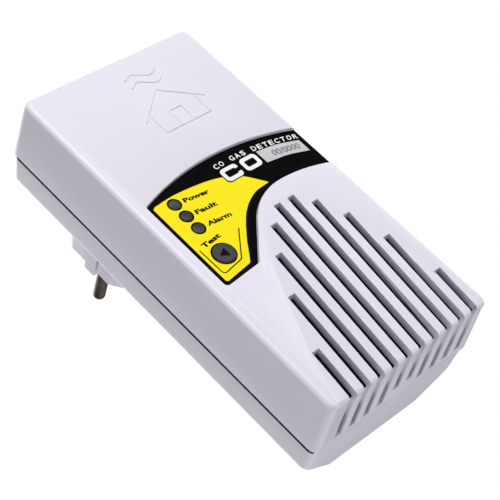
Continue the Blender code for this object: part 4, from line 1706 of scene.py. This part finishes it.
@dataclass
class Studio:
    """Pale floor, soft lights, white surroundings and the camera."""
    bench: Bench
    floor_drop: float = 0.60
    lamps: tuple[tuple[str, Point, float, float, Point], ...] = (
        ("key_light", (60, -1150, 600), 0.55, 13.8, (1.0, 1.0, 1.0)),
        ("left_light", (-1080, 200, -60), 0.8, 3.5, (1.0, 0.98, 1.0)),
        ("right_light", (1000, -100, 500), 0.8, 3.0, (1.0, 1.0, 1.0)),
        ("top_light", (0, 900, 2600), 2.5, 26.0, (1.0, 1.0, 1.0)),
        ("back_light", (200, 1100, 500), 1.0, 7.0, (1.0, 1.0, 1.0)))
    camera_place: Point = (-281.68, -367.12, -183.41)
    camera_aim: Point = (2.648, -0.271, -3.636)
    camera_lens: float = 106.447
    camera_roll: float = -46.295

    def floor(self) -> None:
        """Lay a wide pale floor well below the detector."""
        self.bench.clear()
        low = CAD_BOUNDS[0].z - self.floor_drop
        bpy.ops.mesh.primitive_plane_add(size=8.0, location=(0, 0, low))
        floor = bpy.context.object
        floor.name = "studio_floor"
        paint = MouldedPlastic("floor_paint", (0.86, 0.86, 0.87), 0.7, 6.0, 0.05, 0.98)
        floor.data.materials.append(paint.make())

    def lamp(self, name: str, place: Point, size: float, power: float,
             colour: Point) -> None:
        """Add a square soft light that faces the detector.

        Args:
            name: name of the light.
            place: where it stands, in millimetres.
            size: its side in metres.
            power: its power in watts.
            colour: its colour.
        """
        data = bpy.data.lights.new(name, "AREA")
        data.size, data.energy, data.color = size, power, colour
        lamp = bpy.data.objects.new(name, data)
        bpy.context.scene.collection.objects.link(lamp)
        lamp.location = self.bench.datum.point(place)
        lamp.rotation_euler = (self.bench.datum.seam - lamp.location).to_track_quat("-Z", "Y").to_euler()

    def surroundings(self) -> None:
        """Light softly from all sides and show plain white behind the detector."""
        world = bpy.data.worlds.new("surroundings")
        world.use_nodes = True
        bpy.context.scene.world = world
        nodes, links = world.node_tree.nodes, world.node_tree.links
        soft = nodes["Background"]
        soft.inputs["Color"].default_value = (0.98, 0.96, 1.0, 1.0)
        soft.inputs["Strength"].default_value = 0.11
        white = nodes.new("ShaderNodeBackground")
        white.inputs["Color"].default_value = (1.0, 1.0, 1.0, 1.0)
        seen = nodes.new("ShaderNodeLightPath")
        blend = nodes.new("ShaderNodeMixShader")
        links.new(seen.outputs["Is Camera Ray"], blend.inputs[0])
        links.new(soft.outputs[0], blend.inputs[1])
        links.new(white.outputs[0], blend.inputs[2])
        links.new(blend.outputs[0], nodes["World Output"].inputs["Surface"])

    def camera(self) -> None:
        """Set up the camera below and to the left of the detector, rolled on its side."""
        datum = self.bench.datum
        place, aim = datum.point(self.camera_place), datum.point(self.camera_aim)
        forward = (aim - place).normalized()
        level = forward.cross(Vector((0, 0, 1))).normalized()
        upward = level.cross(forward)
        roll = radians(self.camera_roll)
        right = level * cos(roll) + upward * sin(roll)
        data = bpy.data.cameras.new("camera")
        data.lens, data.sensor_width, data.clip_start = self.camera_lens, 36.0, 0.01
        camera = bpy.data.objects.new("camera", data)
        bpy.context.scene.collection.objects.link(camera)
        turn = Matrix((right, right.cross(forward), -forward)).transposed().to_4x4()
        turn.translation = place
        camera.matrix_world = turn
        bpy.context.scene.camera = camera

    def build(self) -> None:
        """Make the whole studio."""
        self.camera()
        self.floor()
        self.surroundings()
        for lamp in self.lamps:
            self.lamp(*lamp)
        bpy.context.scene.view_settings.view_transform = "Standard"


def make_finishes() -> dict[Slot, bpy.types.Material]:
    """Make the finish of each slot.

    Returns:
        The finishes.
    """
    made = {
        Slot.WHITE: MouldedPlastic("white_shell_plastic", (0.80, 0.775, 0.865), 0.42, 0.3, 0.008, 0.985),
        Slot.SILVER: PrintedFilm("silver_film", (0.74, 0.74, 0.76), 0.34, 0.1, 0.9, 0.25),
        Slot.WINDOW: SmokedLens("smoked_window", (0.095, 0.10, 0.085), (0.05, 0.052, 0.048)),
        Slot.GREY: MouldedPlastic("grey_button_plastic", (0.068, 0.066, 0.075), 0.5, 0.25, 0.01, 0.85,
                                  0.0, 0.15),
        Slot.BLACK: MouldedPlastic("black_plastic", (0.003, 0.003, 0.0035), 0.55, 0.3, 0.01, 0.8,
                                   0.0, 0.06),
        Slot.MESH: WovenMesh("dust_mesh_weave", (0.004, 0.004, 0.005)),
        Slot.NICKEL: PlatedMetal("nickel_plate", (0.20, 0.165, 0.13), (0.10, 0.08, 0.062), 0.36),
        Slot.STEEL: PlatedMetal("zinc_plated_steel", (0.60, 0.60, 0.62), (0.42, 0.42, 0.45), 0.35,
                                (1, 1, 1)),
        Slot.BOARD: BoardLaminate("circuit_board_laminate"),
        Slot.COMPONENT: MouldedPlastic("component_epoxy", (0.015, 0.015, 0.016), 0.55, 0.2, 0.012, 0.7),
        Slot.SLEEVE: MouldedPlastic("capacitor_sleeve", (0.02, 0.05, 0.16), 0.35, 1.2, 0.01, 0.8, 0.3),
        Slot.VARISTOR: MouldedPlastic("varistor_coating", (0.03, 0.16, 0.40), 0.4, 0.9, 0.02, 0.8, 0.2),
        Slot.FUSE: MouldedPlastic("fuse_case", (0.16, 0.10, 0.05), 0.4, 0.4, 0.01, 0.85, 0.1),
        Slot.INSERT: MouldedPlastic("insert_plastic", (0.35, 0.35, 0.36), 0.5, 0.5, 0.012, 0.9),
        Slot.LENS: SmokedLens("diode_epoxy", (0.82, 0.83, 0.80), (0.65, 0.66, 0.62), 0.15),
        Slot.BROWN: MouldedPlastic("brown_insulation", (0.14, 0.055, 0.025), 0.5, 0.8, 0.01, 0.85),
        Slot.BLUE: MouldedPlastic("blue_insulation", (0.02, 0.09, 0.42), 0.5, 0.8, 0.01, 0.85),
    }
    return {slot: finish.make() for slot, finish in made.items()}


def make_inks(finishes: dict[Slot, bpy.types.Material]) -> dict[str, bpy.types.Material]:
    """Make the label's film and inks.

    Args:
        finishes: the finish of each slot.

    Returns:
        The film and the inks by name.
    """
    made = {
        "black": PrintedFilm("black_film", (0.002, 0.002, 0.0025), 0.6, 0.0, 0.6, 0.0, 0.03),
        "yellow": PrintedFilm("yellow_ink", (0.99, 0.83, 0.008), 0.55, 0.0, 0.97),
        "white": PrintedFilm("white_ink", (0.92, 0.92, 0.92), 0.5, 0.0, 0.96),
        "grey": PrintedFilm("grey_ink", (0.30, 0.30, 0.31), 0.5, 0.1, 0.8),
    }
    inks = {name: finish.make() for name, finish in made.items()}
    inks["silver"] = finishes[Slot.SILVER]
    return inks


def main() -> None:
    """Build the studio and every sub-assembly, and log each piece as it is made."""
    logging.basicConfig(level=logging.INFO, format="%(name)s: %(message)s")
    bench = Bench(Datum.of_cover())
    Studio(bench).build()
    finishes = make_finishes()
    inks = make_inks(finishes)
    label = FrontLabel(bench)
    FrontCover(bench).build(finishes[Slot.WHITE], label)
    rear = RearHousing(bench)
    rear.build(finishes[Slot.WHITE])
    # dark strips in the seam's shadow gap: painted shadow
    rear.painted_shadow_strips(finishes[Slot.BLACK])
    PlugPins(bench).build(finishes[Slot.NICKEL])
    back = BackFittings(bench)
    back.plate(finishes[Slot.SILVER], inks["grey"])
    back.screws(finishes[Slot.STEEL])
    label.build(inks)
    controls = Controls(bench)
    controls.windows(finishes[Slot.WINDOW])
    controls.button(finishes[Slot.GREY], finishes[Slot.BLACK])
    Internals(bench).dress(finishes)
    bench.clear()


if __name__ == "__main__":
    main()
